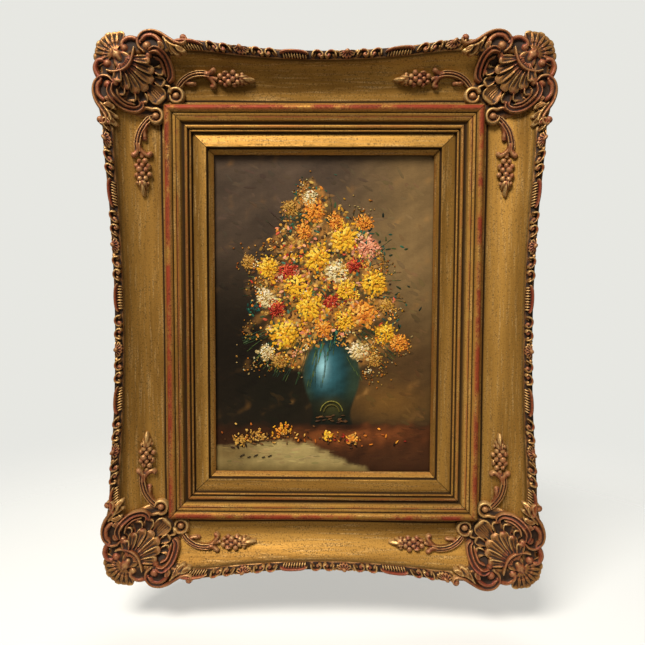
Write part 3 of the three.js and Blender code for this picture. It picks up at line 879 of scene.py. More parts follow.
def carve_sprig(carving, sprig):
    """A stem with a double ridge, its leaflets and forked end, and the cluster beyond."""
    for path, width, lift in sprig["stems"]:
        line = along(path, 40)
        carving.sweep(line, 1.25 * width * taper(40, 0.4, 0.8), on_cove(line, 0.2), lift + 0.6,
                      FLUTED if width > 2.2 else ROUND, foot=2)
        carving.mark(line[::3], 2.2, 0.6)
    for u, v, radius in sprig["buds"]:
        carving.ball(u, v, float(cove_height(u, v)) + radius * 0.9, radius * 1.25)
        carving.mark([(u, v)], radius * 1.25 + 0.3, 0.9)
    start, end, width = sprig["cluster"]
    carve_cluster(carving, start, end, width)


# Stems are (path, half width, height), buds are (u, v, radius), and a cluster is (start, end, half width).
SIDE_SPRIG = {
    "stems": [
        ([(150.6, 175.4), (156.4, 169.2), (161.2, 161.2), (163.4, 151.0), (163.0, 143.6)], 2.6, 4.4),
        ([(163.4, 152.0), (163.2, 145.6), (166.0, 140.6)], 2.0, 4.0),
        ([(163.2, 150.0), (160.4, 144.6), (155.2, 141.4), (152.4, 143.4)], 1.9, 4.0),
        ([(155.4, 168.6), (157.6, 162.6), (157.4, 156.4)], 1.7, 3.6),
        ([(161.6, 146.6), (159.6, 138.8)], 1.7, 3.2),
    ],
    "buds": [(166.4, 141.0, 2.1), (153.2, 142.6, 2.0), (157.6, 155.8, 1.8)],
    "cluster": ((159.6, 138.0), (159.2, 105.0), 5.4),
}
END_SPRIG = {
    "stems": [
        ([(128.6, 198.6), (122.8, 205.2), (115.0, 209.4), (106.0, 210.6), (99.4, 209.2)], 2.4, 4.4),
        ([(105.0, 210.4), (99.8, 210.8), (95.8, 213.2)], 1.8, 3.8),
        ([(103.0, 209.6), (98.6, 206.6), (96.0, 201.8), (98.4, 199.8)], 1.8, 3.8),
        ([(122.2, 204.4), (117.4, 203.0), (113.6, 203.0)], 1.5, 3.4),
        ([(99.8, 208.2), (92.6, 206.2)], 1.6, 3.2),
    ],
    "buds": [(95.8, 213.2, 1.9), (97.6, 200.8, 1.8), (113.4, 203.0, 1.6)],
    "cluster": ((92.0, 206.4), (60.0, 205.6), 4.9),
}

# The running edge. A repeat starts with a ridge, whose middle is RIDGE_MIDDLE along it.
EDGE_REPEAT = 92.0
EDGE_TOP = 41.2
RIDGE_MIDDLE = 12.0
# For an end and a side: where the edge carving starts and stops, and where its first repeat starts.
EDGES = {True: (-121.5, 121.5, -130.0), False: (-169.0, 169.0, -179.5)}


def edge_curl(carving, at, flip):
    """One S-shaped curl with a ball in its hook."""
    path = [(at - 5.0 * flip, 37.6), (at - 3.2 * flip, 41.6), (at + 0.2 * flip, 42.6),
            (at + 3.6 * flip, 40.8), (at + 4.2 * flip, 38.0), (at + 1.8 * flip, 37.0)]
    line = along(path, 28)
    carving.sweep(line, 1.35 * taper(28, 0.5, 0.6), EDGE_TOP - 0.4, 6.0, ROUND, foot=1.5)
    carving.ball(at + 1.6 * flip, 38.6, EDGE_TOP + 3.6, 1.7)
    carving.mark([(at + 1.6 * flip, 38.6), (at + 0.2 * flip, 42.6)], 2.1, 1.0)
    for k in (-1, 0, 1):
        root = (at - 1.2 * flip, 40.6)
        carving.petal(root, (at - (4.6 - 1.4 * k) * flip, 37.4 + 0.9 * abs(k)), 2.2, EDGE_TOP, 3.0, foot=1.5)


def edge_repeat(carving, start, low, high):
    """One run of the edge: a rubbed ridge with gadroons, curls, a small shell, and more curls."""
    def fits(at, reach):
        return low - reach < at < high + reach

    if fits(start, 6.0):
        line = along([(start - 12.5, 39.6), (start - 8, 41.4), (start, 42.0), (start + 8, 41.4),
                      (start + 12.5, 39.6)], 30)
        carving.sweep(line, 1.75 * taper(30, 0.4, 0.4), EDGE_TOP - 0.4, 6.4, ROUND, foot=1.5)
        carving.mark(line[2:-2:2], 2.0, 1.0)
        for k in range(-4, 5):
            carving.petal((start + 2.45 * k, 41.2), (start + 2.45 * k + 0.5, 36.0), 2.3,
                          EDGE_TOP - 0.2, 4.0, blunt=0.6, foot=1.5)
    for place, flip in ((20.5, 1), (32.0, -1), (60.0, 1), (71.5, -1)):
        if fits(start + place, 1.0):
            edge_curl(carving, start + place, flip)
    middle = start + 46.0
    if fits(middle, 2.0):
        for k in range(-3, 4):
            tilt = math.radians(26 * k)
            tip = (middle + 8.0 * math.sin(tilt) * 1.05, 42.6 - 6.2 * math.cos(tilt))
            carving.petal((middle, 42.4), tip, 3.2, (EDGE_TOP + 1.2, EDGE_TOP), 4.4, scoop=0.35,
                          blunt=0.78, spread=1.0, foot=1.5)
        carving.ball(middle, 42.0, EDGE_TOP + 4.2, 2.1)
        carving.mark([(middle, 40.5)], 4.6, 0.8)
        for sign in (-1, 1):
            carving.ball(middle + 9.0 * sign, 41.6, EDGE_TOP + 2.6, 1.8)


def carve_edge(is_end):
    """The running edge of one rail, still in lengths along and across it."""
    low, high, first = EDGES[is_end]
    carving = Carving()
    ends = [(low, 39.9), (high, 39.9)]
    strip = along(ends, 160)
    flat = [(1.0, 0.0), (1.0, 0.4), (0.92, 0.75), (0.5, 0.9), (0.0, 1.0), (-0.5, 0.9), (-0.92, 0.75),
            (-1.0, 0.4), (-1.0, 0.0)]
    carving.sweep(strip, 4.1, EDGE_TOP - 1.2, 2.7, flat, foot=0.6)
    start = first + RIDGE_MIDDLE
    while start < high + 40:
        edge_repeat(carving, start, low, high)
        start += EDGE_REPEAT
    length = CORNER[0] if is_end else CORNER[1]
    points = np.array(carving.points)
    carving.points = rail_place(is_end, points[:, 0] / length, points[:, 1], points[:, 2]).tolist()
    carving.marks = [(rail_place(is_end, at[:, 0] / length, at[:, 1], 0.0)[:, :2], radius, strength)
                     for at, radius, strength in carving.marks]
    return carving


# ---------------------------------------------------------------- rails

# Sections are (distance across, height, hollow, rub). Hollow is 0.5 on open gold and 1 in a groove.
OUTER_SECTION = (
    [(0, 25.2, 1.0, 0), (0.5, 26.0, 0.6, 0.2), (1.9, 26.0, 0.45, 0.3), (2.3, 25.5, 0.9, 0),
     (2.7, 24.8, 1.0, 0), (4.2, 24.85, 0.62, 0)]
    + [(x, float(cove_line(x)), 0.5, 0) for x in np.arange(5.7, 33.5, 1.55)]
    + [(34.2, 39.4, 0.62, 0), (35.0, 40.7, 0.70, 0), (35.6, 41.2, 0.7, 0), (37.0, 41.2, 0.6, 0),
       (43.0, 41.2, 0.6, 0), (43.8, 40.8, 0.6, 0.3), (44, 39.8, 0.5, 0.2), (43.6, 34.0, 0.6, 0),
       (41.4, 16.0, 0.66, 0), (39.7, 1.0, 0.7, 0), (39.0, 0, 0.8, 0), (10.2, 0, 0.9, 0),
       (10.2, 19.6, 0.9, 0), (0, 19.6, 0.9, 0)]
)
INNER_SECTION = [
    (-9, 19.2, 0.9, 0), (0, 19.2, 0.9, 0), (0, 29.6, 1.0, 0), (0.25, 32.2, 0.6, 0),
    (0.9, 33.8, 0.45, 0.5), (1.7, 34.9, 0.4, 1), (2.7, 35.6, 0.36, 1), (3.8, 35.9, 0.36, 1),
    (4.9, 35.7, 0.4, 0.9), (6.0, 35.1, 0.45, 0.4), (6.8, 34.2, 0.5, 0), (7.3, 33.0, 0.75, 0),
    (7.7, 32.5, 0.95, 0), (8.1, 32.9, 0.5, 0), (8.6, 33.2, 0.42, 0), (10.2, 32.8, 0.5, 0.2),
    (10.7, 32.2, 0.85, 0.8), (11.3, 32.5, 0.45, 0.6), (13.2, 32.0, 0.45, 0), (13.8, 31.7, 0.4, 0.1),
    (14.2, 30.8, 0.6, 0), (14.8, 29.8, 0.72, 0), (15.9, 29.2, 0.78, 0), (17.0, 29.2, 0.95, 0),
    (17.5, 29.8, 0.7, 0), (18.1, 31.0, 0.42, 0.25), (18.9, 31.4, 0.38, 0.5), (19.9, 31.2, 0.42, 0.3),
    (20.4, 30.2, 0.6, 0), (20.8, 28.6, 1.0, 0), (21.4, 28.5, 0.9, 0), (21.8, 29.3, 0.45, 0.1),
    (22.4, 29.6, 0.4, 0.2), (23.1, 29.3, 0.5, 0.1), (23.5, 26.8, 1.0, 0), (24.1, 25.9, 0.85, 0),
    (24.5, 26.1, 0.5, 0), (27.5, 27.1, 0.5, 0), (33.0, 28.9, 0.5, 0), (35.8, 29.8, 0.46, 0),
    (36.4, 29.6, 0.5, 0), (36.7, 26.8, 1.0, 0), (37.8, 26.2, 0.95, 0), (38.2, 26.5, 0.45, 0),
    (40.0, 24.7, 0.42, 0.1), (41.6, 22.9, 0.4, 0.25), (42.0, 22.3, 0.5, 0.2), (42.0, 20.4, 0.95, 0),
    (37.4, 20.4, 0.9, 0), (37.0, 8, 0.9, 0), (-9, 8, 0.9, 0),
]


# Where the mitres' dirt starts, as a part of the rail's half length and in millimetres, and its depth.
MITRE_RING = 0.005
MITRE_REACH = 0.25
MITRE_DIRT = 0.82


def rail(name, is_end, is_inner, steps):
    """One rail of the first side or end, with its hollows and rubbed places stored."""
    section = INNER_SECTION if is_inner else OUTER_SECTION
    wave = random.Random(name)
    phases = [wave.uniform(0, 6.28) for _ in range(2)]

    def place(part, x, h):
        s = 2 * part - 1
        # The first cut at each end lies close to the mitre, where the dirt is.
        ring = np.clip(np.round(part * (steps + 1)), 0, steps + 1)
        s = np.where(ring == 1, -1 + MITRE_RING, np.where(ring == steps, 1 - MITRE_RING, s))
        if not is_inner:
            return rail_place(is_end, s * MITRE_PART, x, h)
        # Old sticks are never dead straight, so each moulding wavers by a few hundredths.
        waver = 0.10 * np.sin(7 * s + phases[0]) + 0.06 * np.sin(19 * s + phases[1])
        h = h + np.where((x > 0.5) & (x < 36), waver, 0.0)
        half_u, half_v = INNER_HALF
        if is_end:
            return np.stack([s * (half_u - x - INNER_GAP), half_v - x, h], axis=-1)
        return np.stack([half_u - x, s * (half_v - x - INNER_GAP), h], axis=-1)

    obj = bar(name, [(x, h) for x, h, _, _ in section], steps, place)
    # Each vertex finds its section point again by its distance across and its height.
    co = coordinates(obj) / MM
    u, h, v = co[:, 0], -co[:, 1], co[:, 2] + HANG_V
    if is_inner:
        across = (INNER_HALF[1] - v) if is_end else (INNER_HALF[0] - u)
    else:
        across = across_on(is_end, u, v, 5)
    table = np.array(section)
    distance = (np.abs(across[:, None] - table[None, :, 0])
                + 0.5 * np.abs(h[:, None] - table[None, :, 1]))
    nearest = distance.argmin(axis=1)
    hollow, rub = table[nearest, 2].copy(), table[nearest, 3].copy()
    if is_inner:
        # A little dirt lies in the mitres.
        longer = INNER_HALF[1] - INNER_HALF[0]
        end_gap = (v - longer - np.abs(u)) if is_end else (u + longer - np.abs(v))
        hollow = np.where(end_gap < MITRE_REACH, np.maximum(hollow, MITRE_DIRT), hollow)
    store(obj, "hollow", hollow)
    store(obj, "rub", rub)
    return obj


# ---------------------------------------------------------------- painting

BOARD_SIZE = (205.0, 295.0)
BOARD_FRONT = 19.0
BOARD_THICKNESS = 3.0
BOARD_CELLS = (150, 216)
BOARD_BACK = shade(120, 92, 60)
# Half the width and height of the picture that shows.
SIGHT = (98.0, 143.0)


def on_canvas(x, y):
    """Fractions of the visible picture, from its top left corner, as picture coordinates."""
    return (np.asarray(x) - 0.5) * 2 * SIGHT[0], (0.5 - np.asarray(y)) * 2 * SIGHT[1]


def soft_step(x, low, high):
    q = np.clip((np.asarray(x, float) - low) / (high - low), 0, 1)
    return q * q * (3 - 2 * q)


def blot(x, y, cx, cy, rx, ry):
    """A soft round patch: 1 at its middle, near 0 beyond its radii."""
    return np.exp(-(((x - cx) / rx) ** 2 + ((y - cy) / ry) ** 2))


def wandering(x, y, seed, scale):
    """Slow random waves from about -1 to 1."""
    rng = random.Random(seed)
    total = np.zeros_like(x)
    for k in range(7):
        turn, phase = rng.uniform(0, math.tau), rng.uniform(0, math.tau)
        pitch = scale * (1.0 + 0.55 * k)
        total += np.sin(pitch * (x * math.cos(turn) + 1.45 * y * math.sin(turn)) + phase) / (1 + 0.6 * k)
    return total / 2.6


def vase_half_width(y):
    """Half the vase's width at a height, as fractions of the picture."""
    points = [(0.545, 0.052), (0.565, 0.054), (0.585, 0.070), (0.62, 0.112), (0.66, 0.132),
              (0.69, 0.136), (0.73, 0.126), (0.77, 0.106), (0.80, 0.092), (0.82, 0.088), (0.84, 0.096),
              (0.850, 0.100)]
    return np.interp(y, [p[0] for p in points], [p[1] for p in points], left=0.0, right=0.0)


VASE_X = 0.540


def bouquet_reach(x, y):
    """1 well inside the loose diamond that the flowers fill, falling to 0 at its edge."""
    half = np.interp(y, [0.069, 0.07, 0.14, 0.22, 0.32, 0.46, 0.58, 0.66, 0.715, 0.72],
                     [1e-4, 0.03, 0.11, 0.21, 0.31, 0.375, 0.34, 0.24, 0.05, 1e-4])
    middle = np.interp(y, [0.07, 0.2, 0.35, 0.6, 0.72], [0.43, 0.47, 0.49, 0.52, 0.52])
    return np.clip(1 - np.abs(np.asarray(x) - middle) / half, 0, 1)


def picture_colour(x, y, look):
    """The broad areas: a dim ground, a lit right side, a table, a cloth and the vase."""
    def lay(colour, other, amount):
        return colour + (np.array(other) - colour) * np.clip(amount, 0, 1)[:, None]

    drift = wandering(x, y, 3, 9)
    fine = wandering(x, y, 8, 34)
    hair = wandering(x, y, 21, 90)
    colour = np.tile(np.array(look.ground_dark, float), (len(x), 1))
    colour = lay(colour, shade(84, 66, 50), soft_step(y, 0.62, 0.0) * (0.85 + 0.2 * drift))
    colour = lay(colour, look.ground_warm, soft_step(x + 0.10 * drift, 0.45, 0.95)
                 * soft_step(y, 0.98, 0.30) * 0.9)
    colour = lay(colour, shade(134, 106, 66), blot(x, y, 0.86, 0.26, 0.20, 0.22) * 0.40)
    colour = lay(colour, shade(22, 15, 7), blot(x, y, 0.10, 0.64, 0.34, 0.26) * 0.85)
    colour = lay(colour, shade(20, 18, 8), blot(x, y, 0.30, 0.76, 0.22, 0.10) * 0.8)
    colour = lay(colour, shade(112, 76, 30), blot(x, y, 0.82, 0.775, 0.19, 0.065) * 0.80)
    colour = lay(colour, shade(74, 46, 18), blot(x, y, 0.88, 0.64, 0.22, 0.12) * 0.55)
    inside = bouquet_reach(x, y)
    mass = soft_step(inside + 0.16 * fine, 0.05, 0.50)
    tuft = wandering(x, y, 33, 60)
    colour = lay(colour, shade(92, 64, 30), mass * 0.85)
    colour = lay(colour, shade(168, 112, 48), mass * soft_step(fine + hair, -0.3, 0.7) * 0.85)
    colour = lay(colour, shade(186, 140, 78), mass * soft_step(tuft + 0.5 * hair, 0.35, 0.9) * 0.70)
    colour = lay(colour, shade(30, 42, 26), mass * soft_step(0.6 * hair - fine, 0.15, 0.8) * 0.85)
    cloth = soft_step(y + 0.012 * fine, 0.838, 0.868)
    colour = lay(colour, shade(44, 24, 10), cloth)
    colour = lay(colour, shade(124, 66, 28), cloth * blot(x, y, 0.66, 0.890, 0.30, 0.045)
                 * (0.75 + 0.5 * fine))
    colour = lay(colour, shade(70, 40, 18), cloth * blot(x, y, 0.86, 0.96, 0.22, 0.05) * 0.7)
    edge = np.interp(x, [0, 0.12, 0.28, 0.42, 0.50, 0.58, 0.72, 1.0],
                     [0.925, 0.918, 0.902, 0.908, 0.925, 0.955, 1.0, 1.08])
    table = soft_step(y + 0.008 * fine + 0.006 * hair, edge - 0.006, edge + 0.020)
    colour = lay(colour, look.table, table)
    colour = lay(colour, shade(104, 82, 40), table * soft_step(y, 0.965, 1.0) * 0.7)
    colour = lay(colour, shade(88, 64, 30), table * blot(x, y, 0.06, 0.94, 0.14, 0.05) * 0.8)
    half = vase_half_width(y)
    t = (x - VASE_X) / np.maximum(half, 1e-6)
    body = (half > 0) * soft_step(np.abs(t), 1.04, 0.93)
    glow = blot(x, y, 0.512, 0.672, 0.074, 0.070)
    vase = np.tile(np.array(look.vase_dark, float), (len(x), 1))
    vase = lay(vase, look.vase, np.clip(glow * 1.3 + 0.10 * hair, 0, 1))
    vase = lay(vase, shade(52, 62, 40), soft_step(np.abs(t + 0.1), 0.45, 1.0) * 0.6)
    vase = lay(vase, shade(12, 26, 20), soft_step(y, 0.60, 0.562) * 0.8)
    vase = lay(vase, shade(20, 20, 11), soft_step(y + 0.01 * fine, 0.735, 0.80) * 0.92)
    vase = lay(vase, look.vase_light, blot(x, y, 0.498, 0.664, 0.026, 0.038) * 0.85)
    vase = lay(vase, shade(70, 66, 28), blot(x, y, VASE_X, 0.795, 0.05, 0.03) * 0.55)
    colour = colour + (vase - colour) * body[:, None]
    colour = lay(colour, shade(12, 8, 5), blot(x, y, 0.60, 0.860, 0.15, 0.014) * 0.8)
    for cx, cy, radius, paints in BLOOMS:
        away = np.hypot(x - cx, (y - cy) * SIGHT[1] / SIGHT[0]) / radius
        colour = lay(colour, paints[1], soft_step(away + 0.22 * hair + 0.12 * fine, 1.05, 0.70))
    return np.clip(colour * (1 + 0.10 * drift + 0.14 * fine + 0.10 * hair)[:, None], 0.0015, 1)


# How much higher each layer of paint lies than the one before.
LAYER_LIFT = 0.28


class Brush:
    """Lays closed, low strokes of paint, each with its own colour.

    lift raises everything that the brush lays, so that later brushes cover earlier ones.
    """

    SPOKES = 6

    def __init__(self, seed, lift):
        self.rng = random.Random(seed)
        self.lift = lift
        self.points = []
        self.faces = []
        self.colours = []

    def dab(self, x, y, length, width, turn, colour, thick=0.55, jitter=0.22):
        """One stroke at a fraction of the picture; length and width are millimetres."""
        u, v = on_canvas(x, y)
        if abs(u) + length * 0.5 > SIGHT[0] or abs(v) + length * 0.5 > SIGHT[1]:
            return
        rng = self.rng
        tone = 1 + rng.uniform(-jitter, jitter)
        colour = [min(1.0, max(0.001, c * tone * (1 + rng.uniform(-0.06, 0.06)))) for c in colour]
        start = len(self.points)
        n = self.SPOKES
        ca, sa = math.cos(turn), math.sin(turn)
        # Each ring's part of the outline, its height over the board, and how bright it is: the lower rings
        # are darker, a painted shade round each stroke's foot.
        rings = ((1.0, -0.25, 0.80), (1.0, 0.25 * thick, 0.92), (0.62, thick, 1.0))
        for ring, (part, height, dim) in enumerate(rings):
            for k in range(n):
                a = math.tau * k / n
                du = 0.5 * length * part * math.cos(a) * (1 + 0.12 * math.sin(3 * a + turn))
                dv = 0.5 * width * part * math.sin(a)
                self.points.append((u + du * ca - dv * sa, v + du * sa + dv * ca,
                                    BOARD_FRONT + height + (self.lift if ring else 0)
                                    + rng.uniform(-0.05, 0.05) * (ring > 1)))
                self.colours.append([c * dim for c in colour])
        for ring in range(2):
            for k in range(n):
                a, b = start + ring * n + k, start + ring * n + (k + 1) % n
                self.faces.append((a, b, b + n, a + n))
        self.faces.append(tuple(start + k for k in reversed(range(n))))
        self.faces.append(tuple(start + 2 * n + k for k in range(n)))

    def pick(self, colours):
        return self.rng.choice(colours)

    def build(self, name):
        obj = new_mesh(name, self.points, self.faces)
        faces_out(obj)
        colour_points(obj, self.colours)
        return obj


def colour_points(obj, colours):
    attribute = obj.data.color_attributes.new("paint", "FLOAT_COLOR", "POINT")
    rgba = np.column_stack([np.asarray(colours, float), np.ones(len(colours))])
    attribute.data.foreach_set("color", rgba.astype(np.float32).ravel())


# Paints of one bloom or clump: its usual colour, a deeper one, its light and its shadow.
YELLOW = [shade(222, 170, 40), shade(208, 146, 28), shade(236, 194, 72), shade(186, 120, 24)]
ORANGE = [shade(216, 138, 44), shade(198, 114, 34), shade(228, 164, 70), shade(168, 88, 28)]
CREAM = [shade(212, 190, 138), shade(196, 164, 100), shade(230, 214, 174), shade(172, 134, 78)]
RED = [shade(178, 58, 34), shade(150, 40, 26), shade(204, 88, 56), shade(112, 30, 22)]
PINK = [shade(216, 146, 108), shade(198, 118, 84), shade(228, 172, 136), shade(176, 96, 64)]
OCHRE = [shade(176, 128, 52), shade(150, 104, 40), shade(196, 150, 72), shade(122, 82, 34)]
LEAF = [shade(52, 70, 40), shade(38, 58, 44), shade(82, 94, 46), shade(30, 44, 30), shade(66, 104, 82)]
TEAL = [shade(32, 82, 66), shade(48, 112, 84), shade(26, 60, 56)]
UMBER = [shade(74, 48, 24), shade(54, 34, 20), shade(102, 66, 32), shade(40, 25, 15)]

# A bouquet: where each bloom is, as fractions of the picture, its radius, and its paints.
BLOOMS = [
    (0.595, 0.258, 0.064, YELLOW), (0.470, 0.318, 0.060, YELLOW), (0.242, 0.350, 0.046, YELLOW),
    (0.378, 0.408, 0.056, YELLOW), (0.436, 0.474, 0.062, YELLOW), (0.320, 0.560, 0.064, YELLOW),
    (0.603, 0.418, 0.046, YELLOW), (0.735, 0.398, 0.057, YELLOW), (0.788, 0.557, 0.046, YELLOW),
    (0.702, 0.286, 0.052, PINK), (0.688, 0.497, 0.060, ORANGE), (0.558, 0.362, 0.050, CREAM),
    (0.666, 0.612, 0.046, CREAM), (0.236, 0.446, 0.044, CREAM), (0.334, 0.360, 0.040, RED),
    (0.536, 0.458, 0.034, RED), (0.284, 0.478, 0.036, RED), (0.455, 0.170, 0.048, ORANGE),
    (0.438, 0.130, 0.034, CREAM), (0.345, 0.163, 0.038, OCHRE), (0.556, 0.205, 0.038, ORANGE),
    (0.686, 0.206, 0.036, ORANGE), (0.852, 0.588, 0.042, ORANGE), (0.237, 0.618, 0.036, CREAM),
    (0.294, 0.646, 0.034, OCHRE), (0.153, 0.330, 0.032, OCHRE), (0.792, 0.470, 0.036, OCHRE),
    (0.500, 0.545, 0.040, ORANGE), (0.410, 0.236, 0.038, ORANGE), (0.640, 0.340, 0.034, RED),
    (0.600, 0.515, 0.044, YELLOW), (0.740, 0.640, 0.032, OCHRE),
]
# Clumps of fallen flowers on the table, given in the same way.
FALLEN = [
    (0.310, 0.866, 0.038, YELLOW[1:2] + ORANGE), (0.190, 0.888, 0.034, OCHRE), (0.112, 0.900, 0.030, OCHRE),
    (0.520, 0.884, 0.020, YELLOW), (0.636, 0.896, 0.022, ORANGE),
]


def paint_bloom(brush, x, y, radius, paints):
    """A loose head of broad strokes, darker under and to the right, lighter above and left."""
    rng = brush.rng
    size = radius * 2 * SIGHT[0]
    tall = SIGHT[0] / SIGHT[1]
    lean, squash = rng.uniform(0, math.pi), rng.uniform(0.82, 0.98)
    rings = ((1.18, 9), (0.98, 15), (0.80, 16), (0.62, 15), (0.44, 11), (0.26, 7), (0.08, 3))
    for ring, (part, petals) in enumerate(rings):
        for k in range(petals):
            a = math.tau * (k + rng.uniform(-0.6, 0.6)) / petals + ring * 0.7
            ragged = 1 + 0.12 * math.sin(2 * a + 40 * x) + 0.10 * math.sin(5 * a + 90 * y)
            ragged *= squash + (1 - squash) * abs(math.cos(a - lean))
            reach = radius * part * ragged * rng.uniform(0.78, 1.12)
            lit = 0.5 + 0.5 * math.cos(a - 2.2)
            tone = lit * 0.55 + rng.uniform(0, 0.45) + (0.14 if ring in (2, 3, 4) else -0.04)
            if tone < 0.20:
                colour = paints[3]
            elif tone < 0.84:
                colour = paints[rng.choice((0, 0, 1))]
            else:
                colour = paints[2]
            if ring == len(rings) - 1:
                colour = paints[rng.choice((1, 3))]
            broad = 0.7 if ring == 0 else 1.0
            brush.dab(x + reach * math.cos(a), y - reach * math.sin(a) * tall,
                      size * broad * rng.uniform(0.24, 0.38), size * broad * rng.uniform(0.14, 0.24),
                      a + rng.uniform(-0.9, 0.9), colour, 0.16 + 0.06 * ring, 0.10)


def scatter(brush, count, centre, spread, paints, length, width, thick=0.45, near=None):
    """Small strokes strewn about a place, dimmer where they lie outside the bouquet."""
    rng = brush.rng
    for _ in range(count):
        x = rng.gauss(centre[0], spread[0])
        y = rng.gauss(centre[1], spread[1])
        if near and not near(x, y):
            continue
        colour = brush.pick(paints)
        if y < 0.8 and bouquet_reach(x, y) < 0.10:
            colour = [c * 0.55 for c in colour]
        brush.dab(x, y, rng.uniform(*length), rng.uniform(*width), rng.uniform(0, math.tau), colour, thick)


def off_vase(x, y):
    return y < 0.60 or abs(x - VASE_X) > float(vase_half_width(y)) + 0.004


def in_bouquet(x, y):
    return bouquet_reach(x, y) > 0.04 and off_vase(x, y)


def stem(brush, start, end, bow, paints, width, steps):
    """A bowed line of short strokes that overlap."""
    rng = brush.rng
    for k in range(steps):
        s = (k + 0.5) / steps
        x = start[0] + (end[0] - start[0]) * s + bow * math.sin(math.pi * s) * 0.5
        y = start[1] + (end[1] - start[1]) * s
        turn = math.atan2(-(end[1] - start[1]) * SIGHT[1], (end[0] - start[0]) * SIGHT[0])
        length = math.hypot((end[0] - start[0]) * 2 * SIGHT[0], (end[1] - start[1]) * 2 * SIGHT[1]) / steps
        brush.dab(x, y, length * 1.8, width * rng.uniform(0.7, 1.2), turn, brush.pick(paints), 0.3)


def beside_vase(x, y):
    """Whether a place is near enough to the vase for a broad stroke to cross its outline."""
    return 0.545 < y < 0.86 and abs(x - VASE_X) < 0.16


def paint_ground(brush):
    """Broad thin strokes that break up the ground, the wall's light and the table."""
    rng, look = brush.rng, look_of("picture")
    spots = [(rng.uniform(0.03, 0.97), rng.uniform(0.02, 0.85), False) for _ in range(520)]
    spots += [(rng.uniform(0.03, 0.97), rng.uniform(0.86, 0.985), True) for _ in range(190)]
    for x, y, is_table in spots:
        drag = rng.uniform(-0.02, 0.02)
        if bouquet_reach(x, y) > 0.12 or not off_vase(x, y) or beside_vase(x, y):
            continue
        colour = picture_colour(np.array([x + drag]), np.array([y + drag * 0.3]), look)[0]
        length = rng.uniform(5, 13) * (0.9 if is_table else 1.0)
        width = rng.uniform(1.2, 2.4) if is_table else rng.uniform(2.0, 4.2)
        turn = rng.uniform(-0.35, 0.35)
        turn = turn * 0.5 if is_table else turn * 1.6 - 0.5
        brush.dab(x, y, length, width, turn, colour, 0.06, 0.17)


def paint_greenery(brush):
    scatter(brush, 520, (0.49, 0.42), (0.17, 0.15), LEAF + UMBER, (2.4, 6.0), (1.2, 2.6), 0.25, in_bouquet)
    for count, centre, spread, paints, longest, width in (
            (60, (0.72, 0.30), (0.06, 0.05), TEAL + LEAF, 6.0, (1.2, 2.6)),
            (40, (0.80, 0.50), (0.05, 0.05), TEAL + LEAF, 6.0, (1.0, 2.0)),
            (26, (0.45, 0.12), (0.05, 0.03), TEAL + LEAF, 5.0, (1.0, 2.0)),
            (24, (0.355, 0.20), (0.02, 0.02), TEAL[1:] + LEAF, 5.0, (1.0, 2.0)),
            (20, (0.18, 0.48), (0.02, 0.012), TEAL, 5.0, (1.0, 2.0))):
        scatter(brush, count, centre, spread, paints, (2.4, longest), width, 0.3)
    rng = brush.rng
    for _ in range(60):
        a = rng.uniform(-0.1, math.pi + 0.1)
        reach = rng.uniform(0.26, 0.38)
        start = (0.5 + 0.22 * math.cos(a), 0.42 - 0.20 * math.sin(a))
        end = (0.49 + reach * math.cos(a), 0.43 - reach * math.sin(a) * 0.86)
        stem(brush, start, end, rng.uniform(-0.04, 0.04), LEAF[:3] + UMBER, 0.5, 9)
    for _ in range(40):
        a = rng.uniform(math.pi * 1.05, math.pi * 1.95)
        start = (0.5 + 0.2 * math.cos(a), 0.52 - 0.06 * math.sin(a))
        end = (0.5 + 0.38 * math.cos(a), 0.54 - 0.19 * math.sin(a))
        stem(brush, start, end, rng.uniform(-0.05, 0.05), LEAF[:3], 0.5, 9)
    for k in range(10):
        x = 0.455 + 0.013 * k
        stem(brush, (x, 0.545), (x - 0.02 + rng.uniform(-0.03, 0.03), rng.uniform(0.60, 0.66)), 0.0,
             LEAF[:3] + TEAL[1:2], 0.9, 7)


def paint_flecks(brush):
    """The small flowers that crowd between the blooms."""
    warm = YELLOW[1:] + ORANGE + OCHRE + OCHRE + OCHRE + UMBER[:3] + CREAM[1:2] + PINK[:2]
    rng = brush.rng
    for _ in range(1500):
        x, y = rng.gauss(0.49, 0.19), rng.gauss(0.42, 0.16)
        inside = float(bouquet_reach(x, y))
        if inside < 0.03 or rng.random() > 0.25 + inside * 3 or not off_vase(x, y):
            continue
        brush.dab(x, y, rng.uniform(1.8, 5.0), rng.uniform(1.3, 3.2), rng.uniform(0, math.tau),
                  brush.pick(warm if rng.random() < 0.95 else RED), 0.18)
    for _ in range(120):
        x, y = rng.gauss(0.49, 0.22), rng.gauss(0.43, 0.17)
        inside = float(bouquet_reach(x, y))
        if not 0.0 < inside < 0.75 or not off_vase(x, y):
            continue
        paints = rng.choice((ORANGE, OCHRE, OCHRE, CREAM, PINK, YELLOW))
        for _ in range(rng.randrange(9, 16)):
            a, reach = rng.uniform(0, math.tau), rng.uniform(0.2, 1.0) * 0.021
            brush.dab(x + reach * math.cos(a), y + reach * math.sin(a) * 0.7, rng.uniform(1.3, 2.4),
                      rng.uniform(0.9, 1.5), a, brush.pick(paints), 0.38)


def paint_sprays(brush):
    for centre in ((0.20, 0.40), (0.17, 0.55), (0.78, 0.34), (0.84, 0.48), (0.40, 0.10), (0.68, 0.17),
                   (0.74, 0.60), (0.36, 0.64), (0.58, 0.57), (0.87, 0.60), (0.15, 0.33), (0.25, 0.66),
                   (0.26, 0.28), (0.16, 0.66), (0.72, 0.70), (0.78, 0.67)):
        scatter(brush, 24, centre, (0.028, 0.020), ORANGE + OCHRE + CREAM[:2] + YELLOW[1:2],
                (1.2, 2.6), (0.9, 1.8), 0.35, off_vase)
    for x, y, radius, paints in BLOOMS:
        paint_bloom(brush, x, y, radius, paints)


